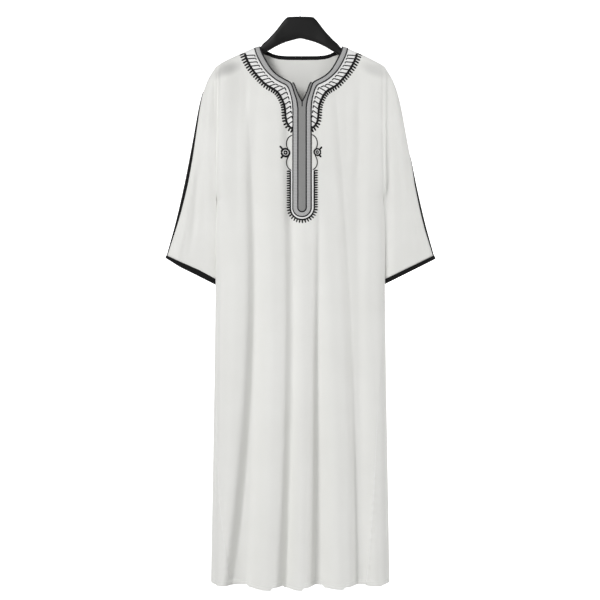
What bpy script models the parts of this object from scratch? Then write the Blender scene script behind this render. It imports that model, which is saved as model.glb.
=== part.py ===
"""White embroidered robe with three-quarter sleeves, hung on a wide black hanger.

Metres, +Z up, the robe's front towards -Y. The origin is the underside of the hook's crest, where
a rail carries it. Heights on the robe are drops below its neck point, the top of the shoulder seam.
"""
import math
from collections import namedtuple

import bmesh
import bpy
from mathutils import Vector

for old_object in list(bpy.data.objects):
    bpy.data.objects.remove(old_object, do_unlink=True)

# Cloth and seams
CLOTH = 0.0015              # wall of the panels, with its seam allowances
GAP = 0.0003                # between two pieces at a seam
NECK_Z = -0.1598            # height of the neck point
HEM_DROP = 1.2827           # neck point to hem
HEM_DIP = 0.10              # part of a fold's depth by which the hem hangs lower there
HEM_EDGE_POWER = 6          # how late that dies away towards the side folds
SLOPE_STEP = 0.0004         # for measuring the slope of the cloth
CENTRE_X = 0.0046           # centre line of notch and placket
NECK_LEAN = 0.023           # part by which the neck's left half is wider, and its right half narrower
ARCH_DROP = 0.020           # height of the rounding over the hanger's arm
LENS_POWER = 3.0            # roundness of the body's rings at their side folds
SHOULDER_POWER = 11.0       # the same over the hanger's arm, which spreads the cloth to its end
SHOULDER_REACH = 0.150      # how far down that spread dies away
TIP_X = 0.2030              # half width at the shoulder tip, where a sleeve starts
TIP_DROP = 0.0487
UNDERARM_DROP = 0.368
ARMHOLE_DEPTH = 0.022       # half depth of the open armhole
ARMHOLE_POWER = 3           # roundness of the armhole, and how fast it dies away inwards
GORE_TOP_DROP = 0.6080
SEAM_PLANE = 0.0005         # points nearer than this to Y = 0 lie on a side or shoulder seam

# Shoulder seam, from the neck point out to the tip
Shoulder = namedtuple("Shoulder", "x drop")
SHOULDER = [Shoulder(0.0000, 0.0000), Shoulder(0.1015, 0.0000), Shoulder(0.1110, 0.0034),
            Shoulder(0.1327, 0.0130), Shoulder(0.1543, 0.0226), Shoulder(0.1735, 0.0322),
            Shoulder(0.1927, 0.0418), Shoulder(0.2030, 0.0487)]

# The body's rings: half width, and half depth in front and behind
Ring = namedtuple("Ring", "drop half_width front back")
BODY = [Ring(0.000, 0.2030, 0.0205, 0.0205), Ring(0.060, 0.2030, 0.0210, 0.0210),
        Ring(0.200, 0.2030, 0.0255, 0.0240), Ring(0.368, 0.2030, 0.0310, 0.0280),
        Ring(0.590, 0.2035, 0.0360, 0.0330), Ring(0.800, 0.2060, 0.0400, 0.0370),
        Ring(1.000, 0.2095, 0.0430, 0.0400), Ring(1.290, 0.2145, 0.0470, 0.0440)]

# Necklines: half width from the centre line, and drop
Neck = namedtuple("Neck", "half_width drop")
FRONT_NECK = [Neck(0.0, 0.1375), Neck(0.0059, 0.1268), Neck(0.0121, 0.1121), Neck(0.0169, 0.0985),
              Neck(0.0205, 0.0914), Neck(0.0267, 0.0864), Neck(0.0424, 0.0816), Neck(0.0557, 0.0743),
              Neck(0.0690, 0.0621), Neck(0.0800, 0.0462), Neck(0.0893, 0.0284), Neck(0.0955, 0.0145),
              Neck(0.0988, 0.0050), Neck(0.1000, 0.0)]
BACK_NECK = [Neck(0.0, 0.0185), Neck(0.0370, 0.0183), Neck(0.0563, 0.0166), Neck(0.0684, 0.0134),
             Neck(0.0790, 0.0085), Neck(0.0899, 0.0050), Neck(0.0975, 0.0030), Neck(0.1000, 0.0)]
BINDING_WIDTH = 0.0096
BINDING_PROUD = 0.0004
BINDING_WALL = 0.0023

# Vertical folds: crest at the chest and at the hem, height at the hem, width of each flank
Fold = namedtuple("Fold", "x_chest x_hem height rise fall")
FRONT_FOLDS = [Fold(-0.150, -0.176, 0.010, 0.050, 0.030), Fold(-0.068, -0.070, 0.034, 0.046, 0.021),
               Fold(0.009, 0.011, 0.035, 0.038, 0.020), Fold(0.074, 0.100, 0.034, 0.048, 0.023),
               Fold(0.165, 0.168, 0.014, 0.038, 0.036)]
BACK_FOLDS = [Fold(-0.140, -0.150, 0.020, 0.044, 0.030), Fold(-0.062, -0.050, 0.032, 0.050, 0.022),
              Fold(0.020, 0.034, 0.030, 0.046, 0.024), Fold(0.100, 0.118, 0.026, 0.048, 0.026)]
FOLD_START = 0.190          # drop where the folds begin
FOLD_FULL = 1.240           # drop where they are at full height
FOLD_SINK = 0.014           # how far the ground between full folds sinks
FOLD_GROWTH = 1.15          # power by which folds grow down the robe
FOLD_SOFTNESS = 1.7         # how much wider a fold is where it begins
FOLD_MOST = 1.05            # growth at the hem, at most

# Gores: width on each panel, from the side fold to the seam
Gore = namedtuple("Gore", "drop left_front right_front back")
GORES = [Gore(0.608, 0.004, 0.004, 0.004), Gore(0.800, 0.005, 0.018, 0.016),
         Gore(0.944, 0.009, 0.029, 0.026), Gore(1.088, 0.020, 0.038, 0.036),
         Gore(1.232, 0.042, 0.052, 0.050), Gore(1.290, 0.056, 0.059, 0.057)]

# Sleeve sections, armhole to cuff: outer and inner edge, half depth, and how far it hangs back
Cut = namedtuple("Cut", "outer_x outer_drop inner_x inner_drop half_depth set_back")
SLEEVE = [Cut(0.2035, 0.0490, 0.2035, 0.3670, 0.0220, 0.000),
          Cut(0.2245, 0.0850, 0.2053, 0.3840, 0.0220, 0.004),
          Cut(0.2410, 0.1370, 0.2052, 0.4090, 0.0218, 0.008),
          Cut(0.2590, 0.2310, 0.2038, 0.4500, 0.0215, 0.012),
          Cut(0.2770, 0.3220, 0.2018, 0.4890, 0.0210, 0.015),
          Cut(0.2985, 0.4160, 0.2002, 0.5280, 0.0205, 0.017),
          Cut(0.3217, 0.5010, 0.1972, 0.5640, 0.0200, 0.018)]
CUFF_WIDTH = 0.0096
CUFF_WALL = 0.0024
CUFF_PROUD = 0.0004
TAPE_WALL = 0.0010
TAPE_START = 0.14           # part of the sleeve's length where its tape begins
TAPE_FRONT = 2              # steps round the section that the tape covers, in front and behind
TAPE_BACK = 1

# Braid round neckline and placket: its two edges from the centre line
Braid = namedtuple("Braid", "outer_x outer_drop inner_x inner_drop")
BRAID = [Braid(0.1110, 0.0060, 0.0992, 0.0030), Braid(0.1075, 0.0199, 0.0960, 0.0150),
         Braid(0.0996, 0.0380, 0.0895, 0.0290), Braid(0.0874, 0.0584, 0.0796, 0.0470),
         Braid(0.0752, 0.0719, 0.0688, 0.0626), Braid(0.0607, 0.0840, 0.0555, 0.0748),
         Braid(0.0474, 0.0914, 0.0425, 0.0822), Braid(0.0376, 0.0962, 0.0279, 0.0905),
         Braid(0.0314, 0.1047, 0.0229, 0.1000), Braid(0.0267, 0.1192, 0.0181, 0.1156),
         Braid(0.0231, 0.1351, 0.0128, 0.1323), Braid(0.0214, 0.1563, 0.0098, 0.1515)]
BRAID_OUTER = 0.0214        # half widths of the placket's braid
BRAID_INNER = 0.0098
BRAID_FOOT_DROP = 0.3896    # where the braid starts to turn round the placket's foot
BRAID_PROUD = 0.0012
STRIP_PROUD = 0.0009
APPLIQUE_LIFT = 0.0004      # clear of the panel below

# Hanger: stations outward from its middle, drop of its top and underside, half depth
Station = namedtuple("Station", "x top bottom half_depth")
HANGER_NECK = [Station(0.0000, -0.0718, -0.0194, 0.0070), Station(0.0170, -0.0716, -0.0158, 0.0070),
               Station(0.0300, -0.0705, -0.0122, 0.0070), Station(0.0345, -0.0674, -0.0110, 0.0070),
               Station(0.0390, -0.0630, -0.0090, 0.0070), Station(0.0463, -0.0540, -0.0062, 0.0072),
               Station(0.0535, -0.0444, -0.0026, 0.0074), Station(0.0610, -0.0350, 0.0010, 0.0076),
               Station(0.0700, -0.0254, 0.0065, 0.0072), Station(0.0790, -0.0158, 0.0118, 0.0068),
               Station(0.0900, -0.0062, 0.0185, 0.0065)]
ARM_STATIONS = [0.0975, 0.1110, 0.1327, 0.1543, 0.1735, 0.1870]
ARM_HEIGHT = 0.0225
ARM_DEPTH_NECK = 0.0066     # half depths of the arm at the neck and near its end
ARM_DEPTH_END = 0.0108
ARM_END = [(0.1915, 0.82), (0.1950, 0.56), (0.1970, 0.24)]     # the rounded end, part of the section
ARM_PLAY = 0.0011           # below the cloth's inside along the arm

# Hook: round wire, a straight shank and a question-mark loop
WIRE_RADIUS = 0.0017
LOOP_RADIUS = 0.0190 + WIRE_RADIUS
FILLET_RADIUS = 0.0080
LOOP_END_ANGLE = math.radians(196)
HANGER_TOP_Z = NECK_Z + 0.0718

# Colours and finishes
WHITE = (0.80, 0.80, 0.78, 1)
BLACK = (0.012, 0.012, 0.013, 1)
LIGHT_GREY = (0.42, 0.42, 0.42, 1)
MID_GREY = (0.20, 0.20, 0.20, 1)
STEEL = (0.60, 0.60, 0.62, 1)


def material(name, colour, roughness, metallic=0.0):
    """One Principled material."""
    result = bpy.data.materials.new(name)
    result.use_nodes = True
    shader = result.node_tree.nodes["Principled BSDF"]
    shader.inputs["Base Color"].default_value = colour
    shader.inputs["Roughness"].default_value = roughness
    shader.inputs["Metallic"].default_value = metallic
    return result


def read(rows, key, value, column):
    """Reads a column of a table between its rows, which rise with key."""
    low = rows[0]
    for high in rows[1:]:
        if getattr(high, key) >= value:
            span = getattr(high, key) - getattr(low, key)
            part = max(0.0, (value - getattr(low, key)) / span) if span > 0 else 0.0
            return getattr(low, column) + part * (getattr(high, column) - getattr(low, column))
        low = high
    return getattr(rows[-1], column)


def ease(low, high, value):
    """Rises smoothly from 0 at low to 1 at high."""
    part = min(1.0, max(0.0, (value - low) / (high - low)))
    return part * part * (3 - 2 * part)


def blend(low, high, part):
    return low + (high - low) * part


def shoulder_drop(x):
    return read(SHOULDER, "x", abs(x), "drop")


def half_width(drop):
    return read(BODY, "drop", drop, "half_width")


def fold_depth(x, drop, folds):
    """How far the folds push the cloth out at a point. The left flank of a fold is the gentle one."""
    growth = max(0.0, (drop - FOLD_START) / (FOLD_FULL - FOLD_START)) ** FOLD_GROWTH
    low_down = min(1.0, growth)
    depth = -FOLD_SINK
    for fold in folds:
        offset = x - blend(fold.x_chest, fold.x_hem, low_down)
        softness = blend(FOLD_SOFTNESS, 1.0, low_down)
        reach = (fold.rise if offset < 0 else fold.fall) * softness
        if abs(offset) < reach:
            depth += fold.height * (0.5 + 0.5 * math.cos(math.pi * offset / reach))
    return depth * min(growth, FOLD_MOST)


def body_depth(x, drop, side):
    """Half depth of the body at a point: a rounded ring, its folds, the arch over the hanger's arm
    and the open armhole at its edge. side is -1 in front and 1 behind."""
    part = min(1.0, abs(x) / half_width(drop))
    ring = read(BODY, "drop", drop, "front" if side < 0 else "back")
    folds = fold_depth(x, drop, FRONT_FOLDS if side < 0 else BACK_FOLDS)
    below_seam = max(0.0, drop - shoulder_drop(x))
    power = blend(SHOULDER_POWER, LENS_POWER, ease(0.0, SHOULDER_REACH, below_seam))
    lens = math.sqrt(max(0.0, 1 - part ** power))
    below = min(1.0, below_seam / ARCH_DROP)
    arch = math.sqrt(1 - (1 - below) ** 2)
    down = min(1.0, max(0.0, (drop - TIP_DROP) / (UNDERARM_DROP - TIP_DROP)))
    oval = math.sqrt(1 - abs(2 * down - 1) ** ARMHOLE_POWER)
    armhole = ARMHOLE_DEPTH * oval * part ** ARMHOLE_POWER
    return math.hypot((ring + folds * lens) * lens * arch, armhole, GAP / 2)


def body_point(x, drop, side):
    """Point on the outside of the body, with the hem a little lower at a fold's crest."""
    depth = body_depth(x, drop, side)
    low_down = ease(FOLD_START, HEM_DROP, drop)
    dip = HEM_DIP * fold_depth(x, drop, FRONT_FOLDS if side < 0 else BACK_FOLDS) * low_down
    edge = min(1.0, abs(x) / half_width(drop)) ** HEM_EDGE_POWER
    return Vector((x, side * depth, NECK_Z - drop - dip * (1 - edge)))


def body_normal(x, drop, side):
    """Outward direction there. On a seam plane or at the armhole a wall turns square to the seam,
    so that the pieces stay apart."""
    step = SLOPE_STEP
    across = (body_depth(x + step, drop, side) - body_depth(x - step, drop, side)) / (2 * step)
    down = (body_depth(x, drop + step, side) - body_depth(x, drop - step, side)) / (2 * step)
    direction = Vector((-across, side, down))
    if body_depth(x, drop, side) < SEAM_PLANE:
        direction.y = 0
    elif abs(x) > TIP_X - GAP and TIP_DROP < drop < UNDERARM_DROP:
        direction.x = 0
    return direction.normalized()


def grid_normals(points, closed):
    """Outward directions of a tube's grid of points, whose rows run round it."""
    rows = len(points)
    count = len(points[0])
    result = []
    for i in range(rows):
        row = []
        for j in range(count):
            after = points[i][(j + 1) % count] if closed or j + 1 < count else points[i][j]
            before = points[i][j - 1] if closed or j > 0 else points[i][j]
            along = points[min(i + 1, rows - 1)][j] - points[max(i - 1, 0)][j]
            row.append(along.cross(after - before).normalized())
        result.append(row)
    centre = sum(points[rows // 2], Vector()) / count
    if result[rows // 2][0].dot(points[rows // 2][0] - centre) < 0:
        result = [[-direction for direction in row] for row in result]
    return result


def square_to(directions, axis):
    """Turns directions square to an axis, for a rim that meets another piece."""
    return [(direction - axis * direction.dot(axis)).normalized() for direction in directions]


def wall(name, points, normals, outside, inside, finish, closed=False):
    """A closed cloth wall: the grid moved out and in along its normals, joined round its rims.
    outside and inside are the two distances."""
    mesh = bmesh.new()
    skins = []
    for offset in (outside, inside):
        skins.append([[mesh.verts.new(point + normal * offset) for point, normal in zip(row, directions)]
                      for row, directions in zip(points, normals)])
    outer, inner = skins
    rows = len(points)
    count = len(points[0])
    last = count if closed else count - 1
    for i in range(rows - 1):
        for j in range(last):
            k = (j + 1) % count
            mesh.faces.new((outer[i][j], outer[i + 1][j], outer[i + 1][k], outer[i][k]))
            mesh.faces.new((inner[i][k], inner[i + 1][k], inner[i + 1][j], inner[i][j]))
    for i in (0, rows - 1):
        for j in range(last):
            k = (j + 1) % count
            mesh.faces.new((outer[i][j], outer[i][k], inner[i][k], inner[i][j]))
    if not closed:
        for j in (0, count - 1):
            for i in range(rows - 1):
                mesh.faces.new((outer[i][j], inner[i][j], inner[i + 1][j], outer[i + 1][j]))
    return finish_object(name, mesh, finish)


def finish_object(name, mesh, finish):
    """Turns a bmesh into a named, smooth shaded object with its faces pointing out."""
    bmesh.ops.recalc_face_normals(mesh, faces=mesh.faces)
    data = bpy.data.meshes.new(name)
    mesh.to_mesh(data)
    mesh.free()
    data.shade_smooth()
    data.materials.append(finish)
    result = bpy.data.objects.new(name, data)
    bpy.context.scene.collection.objects.link(result)
    return result


def body_wall(name, places, finish, outside=0.0, inside=-CLOTH):
    """A wall whose grid is given as places on the body: x, drop and side."""
    points = [[body_point(*place) for place in row] for row in places]
    normals = [[body_normal(*place) for place in row] for row in places]
    return wall(name, points, normals, outside, inside, finish)


white_cloth = material("white_cloth", WHITE, 0.85)
black_tape = material("black_tape", BLACK, 0.75)
light_braid = material("light_braid", LIGHT_GREY, 0.80)
grey_strip = material("grey_strip", MID_GREY, 0.80)
black_plastic = material("black_plastic", BLACK, 0.40)
steel_wire = material("steel_wire", STEEL, 0.25, 1.0)

# Rows of the panels: an arch over the hanger's arm, then even steps that meet the underarm and the
# top of the gores, where two rows lie close together so that the side seam can open round the gore
ARCH_STEPS = 6
ARCH_ROWS = [ARCH_DROP * (1 - math.cos(math.pi / 2 * i / ARCH_STEPS)) for i in range(ARCH_STEPS + 1)]
SIDE_START = TIP_DROP + ARCH_DROP
UNDERARM_PART = (UNDERARM_DROP - SIDE_START) / (HEM_DROP - SIDE_START)
GORE_PART = (GORE_TOP_DROP - SIDE_START) / (HEM_DROP - SIDE_START)
GORE_PART_ABOVE = GORE_PART - 0.0008
ABOVE_GORE = ([UNDERARM_PART * i / 4 for i in range(1, 5)]
              + [blend(UNDERARM_PART, GORE_PART_ABOVE, i / 2) for i in range(1, 3)])
BELOW_GORE = [blend(GORE_PART, 1, i / 7) for i in range(8)]
EDGE_PARTS = [0.895, 0.930, 0.958, 0.980, 0.994, 1.0]
CLOSE_COLUMNS = 0.004
WIDE_COLUMNS = 0.048


def row_drops(top):
    """Drops of a column's points, from its top edge to the hem."""
    arch = [top + rise for rise in ARCH_ROWS]
    return arch + [blend(arch[-1], HEM_DROP, part) for part in ABOVE_GORE + BELOW_GORE]


def gore_width(drop, column):
    return read(GORES, "drop", drop, column)


def panel_edge(drop, side, hand):
    """Half width of a panel: to the side fold, or to the gore's seam lower down. hand is -1 on the
    left and 1 on the right."""
    if drop < GORE_TOP_DROP - 0.0001:
        return half_width(drop)
    column = "back" if side > 0 else ("left_front" if hand < 0 else "right_front")
    return half_width(drop) - gore_width(drop, column) - GAP


def neck_x(hand, beside):
    """Place of a point beside the centre line of the neck and placket."""
    return CENTRE_X + hand * beside * (1 - hand * NECK_LEAN)


def neck_drop(rows, x):
    """Drop of a neckline at x, or of the shoulder seam beside it."""
    beside = x - CENTRE_X
    beside = abs(beside) / (1 - math.copysign(NECK_LEAN, beside))
    if beside >= rows[-1].half_width:
        return shoulder_drop(x)
    return max(read(rows, "half_width", beside, "drop"), shoulder_drop(x))


def panel_columns(neck_rows, inner_steps):
    """Column places at the top edge, as parts of the tip's half width, from left to right. None lie
    closer than CLOSE_COLUMNS, and wider spaces than WIDE_COLUMNS are halved."""
    columns = []
    for hand in (-1, 1):
        columns += [hand * part for part in EDGE_PARTS]
        neck = [neck_x(hand, row.half_width) / TIP_X for row in neck_rows]
        first = neck[-1]
        columns += neck
        last = hand * EDGE_PARTS[0]
        columns += [blend(first, last, i / inner_steps) for i in range(1, inner_steps)]
    ordered = sorted(columns)
    kept = [ordered[0]]
    for column in ordered[1:]:
        if column - kept[-1] > WIDE_COLUMNS:
            kept.append((column + kept[-1]) / 2)
        if column - kept[-1] > CLOSE_COLUMNS:
            kept.append(column)
    return kept


def panel_places(columns, side, top_of):
    """Grid of a front or back panel, whose columns follow its own side edges below the underarm."""
    drops = [row_drops(top_of(column * TIP_X)) for column in columns]
    grid = []
    for i, edge_drop in enumerate(row_drops(TIP_DROP)):
        row = []
        for column, column_drops in zip(columns, drops):
            edge = panel_edge(edge_drop, side, -1 if column < 0 else 1)
            row.append((column * edge, column_drops[i], side))
        grid.append(row)
    return grid


# Front panel, from shoulder seam and neckline to hem
front_columns = panel_columns(FRONT_NECK, 12)
body_wall("front", panel_places(front_columns, -1, lambda x: neck_drop(FRONT_NECK, x)), white_cloth)


# Back panel, cut lower at the neck by the width of the binding that finishes it
def back_top(x):
    left_end = neck_x(-1, BACK_NECK[-1].half_width + GAP)
    right_end = neck_x(1, BACK_NECK[-1].half_width + GAP)
    if left_end < x < right_end:
        return neck_drop(BACK_NECK, x) + BINDING_WIDTH + GAP
    return shoulder_drop(x)


back_columns = panel_columns(BACK_NECK + [Neck(BACK_NECK[-1].half_width + 0.0020, 0.0)], 9)
body_wall("back", panel_places(back_columns, 1, back_top), white_cloth)

# Black binding round the back neckline, a little thicker than the panel on both faces
binding_grid = []
for i in range(4):
    binding_row = []
    for hand, rows in ((-1, BACK_NECK[:0:-1]), (1, BACK_NECK)):
        for neck_row in rows:
            x = neck_x(hand, neck_row.half_width - GAP)
            binding_row.append((x, neck_drop(BACK_NECK, x) + BINDING_WIDTH * i / 3, 1))
    binding_grid.append(binding_row)
body_wall("back_neck_binding", binding_grid, black_tape, BINDING_PROUD, BINDING_PROUD - BINDING_WALL)

# Gores, folded round the sides from the front seam to the back seam
gore_rows = row_drops(TIP_DROP)[-len(BELOW_GORE):]
GORE_STEPS = 4
for side_name, hand in (("left", -1), ("right", 1)):
    gore_grid = []
    for i, drop in enumerate(gore_rows):
        drop = drop + (GAP if i == 0 else 0.0)
        width = half_width(drop)
        row = []
        for side, column in ((-1, side_name + "_front"), (1, "back")):
            seam = (width - gore_width(drop, column)) / width
            start = math.asin(seam ** 1.5)
            turns = [blend(start, math.pi / 2, step / GORE_STEPS) for step in range(GORE_STEPS + 1)]
            places = [(hand * width * math.sin(turn) ** (2 / 3), drop, side) for turn in turns]
            row += places if side < 0 else places[-2::-1]
        gore_grid.append(row)
    body_wall("gore_" + side_name, gore_grid, white_cloth)

# Sleeves from the armhole to the slanted cuff, drawn through their sections. A front and a back half
# meet along the outer fold, under the tape, and along the underarm.
RING_TURNS = [0, 7, 15, 27, 43, 61, 80, 99, 118, 137, 155, 170, 180]    # degrees round the section
RINGS_BETWEEN = 2


def section_between(sections, place):
    """A cut part of the way between two sections, on a smooth curve through all of them."""
    low = min(int(place), len(sections) - 2)
    part = place - low
    four = [sections[min(max(low + k, 0), len(sections) - 1)] for k in (-1, 0, 1, 2)]
    values = []
    for a, b, c, d in zip(*four):
        first = (c - a) / 2 if low > 0 else c - b
        last = (d - b) / 2 if low + 2 < len(sections) else c - b
        square = part * part
        cube = square * part
        values.append(b * (2 * cube - 3 * square + 1) + first * (cube - 2 * square + part)
                      + c * (3 * square - 2 * cube) + last * (cube - square))
    return Cut(*values)


def sleeve_ring(cut, hand):
    """Ring of a flat rounded section. It starts on the outer fold and runs along the front first."""
    ring = []
    for side, turns in ((-1, RING_TURNS), (1, RING_TURNS[::-1])):
        for turn in turns:
            part = (1 - math.cos(math.radians(turn))) / 2
            bulge = cut.half_depth * math.sqrt(max(0.0, 1 - abs(2 * part - 1) ** ARMHOLE_POWER))
            bulge = math.hypot(bulge, GAP / 2)
            ring.append(Vector((hand * blend(cut.outer_x, cut.inner_x, part), cut.set_back + side * bulge,
                                NECK_Z - blend(cut.outer_drop, cut.inner_drop, part))))
    return ring


def seam_normals(normals):
    """Outward directions of a sleeve's rings, with those on its two folds turned along the seam plane."""
    last = len(RING_TURNS)
    for row in normals:
        for step in (0, last - 1, last, 2 * last - 1):
            row[step].y = 0
            row[step].normalize()
    return normals


def moved_cut(cut, distance):
    """The last cut moved on along the sleeve, square to its slanted edge."""
    slope_x = cut.outer_x - cut.inner_x
    slope_drop = cut.inner_drop - cut.outer_drop
    length = math.hypot(slope_x, slope_drop)
    shift_x = distance * slope_drop / length
    shift_drop = distance * slope_x / length
    return cut._replace(outer_x=cut.outer_x + shift_x, inner_x=cut.inner_x + shift_x,
                        outer_drop=cut.outer_drop + shift_drop, inner_drop=cut.inner_drop + shift_drop)


ring_count = (len(SLEEVE) - 1) * RINGS_BETWEEN + 1
sleeve_cuts = [section_between(SLEEVE, i / RINGS_BETWEEN) for i in range(ring_count)]
cuff_cuts = [moved_cut(SLEEVE[-1], GAP), moved_cut(SLEEVE[-1], GAP + CUFF_WIDTH)]
for side_name, hand in (("left", -1), ("right", 1)):
    sleeve_points = [sleeve_ring(cut, hand) for cut in sleeve_cuts]
    cuff_points = [sleeve_ring(cut, hand) for cut in cuff_cuts]
    cuff_axis = (cuff_points[1][0] - cuff_points[0][0]).normalized()
    sleeve_normals = seam_normals(grid_normals(sleeve_points, closed=True))
    sleeve_normals[0] = square_to(sleeve_normals[0], Vector((1, 0, 0)))
    sleeve_normals[-1] = square_to(sleeve_normals[-1], cuff_axis)
    half = len(RING_TURNS)
    for part_name, steps in (("front", slice(0, half)), ("back", slice(half, None))):
        wall("sleeve_" + side_name + "_" + part_name, [ring[steps] for ring in sleeve_points],
             [ring[steps] for ring in sleeve_normals], 0.0, -CLOTH, white_cloth)

    # The binding is one ring, so the doubled points on its folds are left out
    single = [step for step in range(2 * half) if step not in (half, 2 * half - 1)]
    cuff_points = [[ring[step] for step in single] for ring in cuff_points]
    cuff_normals = [square_to(row, cuff_axis) for row in grid_normals(cuff_points, closed=True)]
    wall("cuff_binding_" + side_name, cuff_points, cuff_normals, CUFF_PROUD, CUFF_PROUD - CUFF_WALL,
         black_tape, closed=True)

    # The tape lies over the outer fold, more of it in front than behind
    tape_steps = [-1 - TAPE_BACK, *range(TAPE_FRONT + 1)]
    first_ring = round(TAPE_START * (len(sleeve_cuts) - 1))
    tape_points = [[ring[step] for step in tape_steps] for ring in sleeve_points[first_ring:]]
    tape_normals = [[ring[step] for step in tape_steps] for ring in sleeve_normals[first_ring:]]
    wall("sleeve_tape_" + side_name, tape_points, tape_normals, GAP + TAPE_WALL, GAP, black_tape)

# Braid round the neckline, down the placket, round its foot and up again
FOOT_STEPS = 12
STRAIGHT_STEPS = 6
ACROSS_BRAID = 2
ARCH_ROWS_OF_BRAID = 3      # first rows, over the arch, which are split finer
braid_half = []
for i, (row, following) in enumerate(zip(BRAID, BRAID[1:])):
    parts = 4 if i < ARCH_ROWS_OF_BRAID else 1
    braid_half += [Braid(*(blend(a, b, k / parts) for a, b in zip(row, following))) for k in range(parts)]
for i in range(STRAIGHT_STEPS):
    straight_drop = blend(BRAID[-1].outer_drop, BRAID_FOOT_DROP, i / STRAIGHT_STEPS)
    braid_half.append(Braid(BRAID_OUTER, straight_drop, BRAID_INNER, straight_drop))
for i in range(FOOT_STEPS // 2 + 1):
    turn = math.pi * i / FOOT_STEPS
    braid_half.append(Braid(BRAID_OUTER * math.cos(turn), BRAID_FOOT_DROP + BRAID_OUTER * math.sin(turn),
                            BRAID_INNER * math.cos(turn), BRAID_FOOT_DROP + BRAID_INNER * math.sin(turn)))
braid_edges = [(-1, row) for row in braid_half] + [(1, row) for row in braid_half[-2::-1]]
braid_grid = []
for i in range(ACROSS_BRAID + 1):
    inward = i / ACROSS_BRAID
    braid_grid.append([(neck_x(hand, blend(row.outer_x, row.inner_x, inward)),
                        blend(row.outer_drop, row.inner_drop, inward), -1) for hand, row in braid_edges])
body_wall("neck_braid", braid_grid, light_braid, APPLIQUE_LIFT + BRAID_PROUD, APPLIQUE_LIFT)

# Strip inside the braid: it fills the placket and splits into an arm up each edge of the notch
STRIP_HALF = BRAID_INNER - GAP
STRIP_FOOT_DROP = BRAID_FOOT_DROP
STRIP_ROWS = 9
STRIP_FOOT_PARTS = [0.0, 0.30, 0.60, 0.86, 1.0]


def strip_bottom(beside):
    """Lower edge of the strip: the rounded foot, or the braid's edge beside the notch."""
    if beside <= STRIP_HALF:
        return STRIP_FOOT_DROP + math.sqrt(max(0.0, STRIP_HALF ** 2 - beside ** 2))
    arm = sorted((Neck(row.inner_x, row.inner_drop) for row in BRAID[7:]))
    return read(arm, "half_width", beside + GAP, "drop") - 2 * GAP


strip_halves = [STRIP_HALF * part for part in STRIP_FOOT_PARTS]
strip_arms = [STRIP_HALF + GAP / 2, 0.0115, 0.0135, 0.0160, 0.0190, 0.0225, 0.0255]
strip_sides = [(-1, beside) for beside in reversed(strip_halves + strip_arms)]
strip_sides += [(1, beside) for beside in strip_halves[1:] + strip_arms]
strip_grid = []
for i in range(STRIP_ROWS + 1):
    strip_row = []
    for hand, beside in strip_sides:
        strip_top = read(FRONT_NECK, "half_width", beside, "drop") + 2 * GAP
        strip_drop = blend(strip_top, strip_bottom(beside), i / STRIP_ROWS)
        strip_row.append((neck_x(hand, beside), strip_drop, -1))
    strip_grid.append(strip_row)
body_wall("placket_strip", strip_grid, grey_strip, APPLIQUE_LIFT + STRIP_PROUD, APPLIQUE_LIFT)

# Hanger, one moulding: rounded sections from arm end to arm end
SECTION_POINTS = 12


def hanger_section(x, top, bottom, half_depth, power):
    """Ring of a rounded section. Its first point is the crown."""
    half_height = (bottom - top) / 2
    ring = []
    for step in range(SECTION_POINTS):
        turn = 2 * math.pi * step / SECTION_POINTS
        y = half_depth * math.copysign(abs(math.sin(turn)) ** power, math.sin(turn))
        rise = half_height * math.copysign(abs(math.cos(turn)) ** power, math.cos(turn))
        ring.append(Vector((x, y, NECK_Z - (top + half_height) + rise)))
    return ring


NECK_SQUARENESS = 0.62      # powers of the rounded sections: less is squarer, 1 is an ellipse
ARM_SQUARENESS = 0.90
arm_sections = [(*row, NECK_SQUARENESS) for row in HANGER_NECK]
for x in ARM_STATIONS:
    arm_top = shoulder_drop(x) + CLOTH + ARM_PLAY
    arm_depth = blend(ARM_DEPTH_NECK, ARM_DEPTH_END, ease(ARM_STATIONS[0], ARM_STATIONS[-1], x))
    arm_sections.append((x, arm_top, arm_top + ARM_HEIGHT, arm_depth, ARM_SQUARENESS))
for x, scale in ARM_END:
    arm_middle = shoulder_drop(x) + CLOTH + ARM_PLAY + ARM_HEIGHT / 2
    reach = ARM_HEIGHT / 2 * scale
    arm_sections.append((x, arm_middle - reach, arm_middle + reach, ARM_DEPTH_END * scale, 1.0))
sections = [(-row[0],) + row[1:] for row in reversed(arm_sections[1:])] + arm_sections
hanger = bmesh.new()
hanger_rings = [[hanger.verts.new(point) for point in hanger_section(*row)] for row in sections]
for ring, following in zip(hanger_rings, hanger_rings[1:]):
    for i in range(SECTION_POINTS):
        k = (i + 1) % SECTION_POINTS
        hanger.faces.new((ring[i], ring[k], following[k], following[i]))
hanger.faces.new(hanger_rings[0])
hanger.faces.new(hanger_rings[-1])
finish_object("hanger_body", hanger, black_plastic)

# Hook: shank, a small fillet and a loop whose crest is over the shank
loop_centre_z = WIRE_RADIUS - LOOP_RADIUS
shank_top_z = loop_centre_z - math.sqrt((LOOP_RADIUS + FILLET_RADIUS) ** 2 - FILLET_RADIUS ** 2)
meeting_angle = math.atan2(shank_top_z - loop_centre_z, FILLET_RADIUS)
hook_route = [Vector((0, 0, HANGER_TOP_Z + GAP)), Vector((0, 0, blend(HANGER_TOP_Z, shank_top_z, 0.5)))]
for i in range(4):
    turn = math.pi + meeting_angle * i / 4
    hook_route.append(Vector((FILLET_RADIUS + FILLET_RADIUS * math.cos(turn), 0,
                              shank_top_z + FILLET_RADIUS * math.sin(turn))))
for i in range(25):
    turn = blend(meeting_angle, LOOP_END_ANGLE, i / 24)
    hook_route.append(Vector((LOOP_RADIUS * math.cos(turn), 0, loop_centre_z + LOOP_RADIUS * math.sin(turn))))
wire = bpy.data.curves.new("hanger_hook", "CURVE")
wire.dimensions = "3D"
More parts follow.
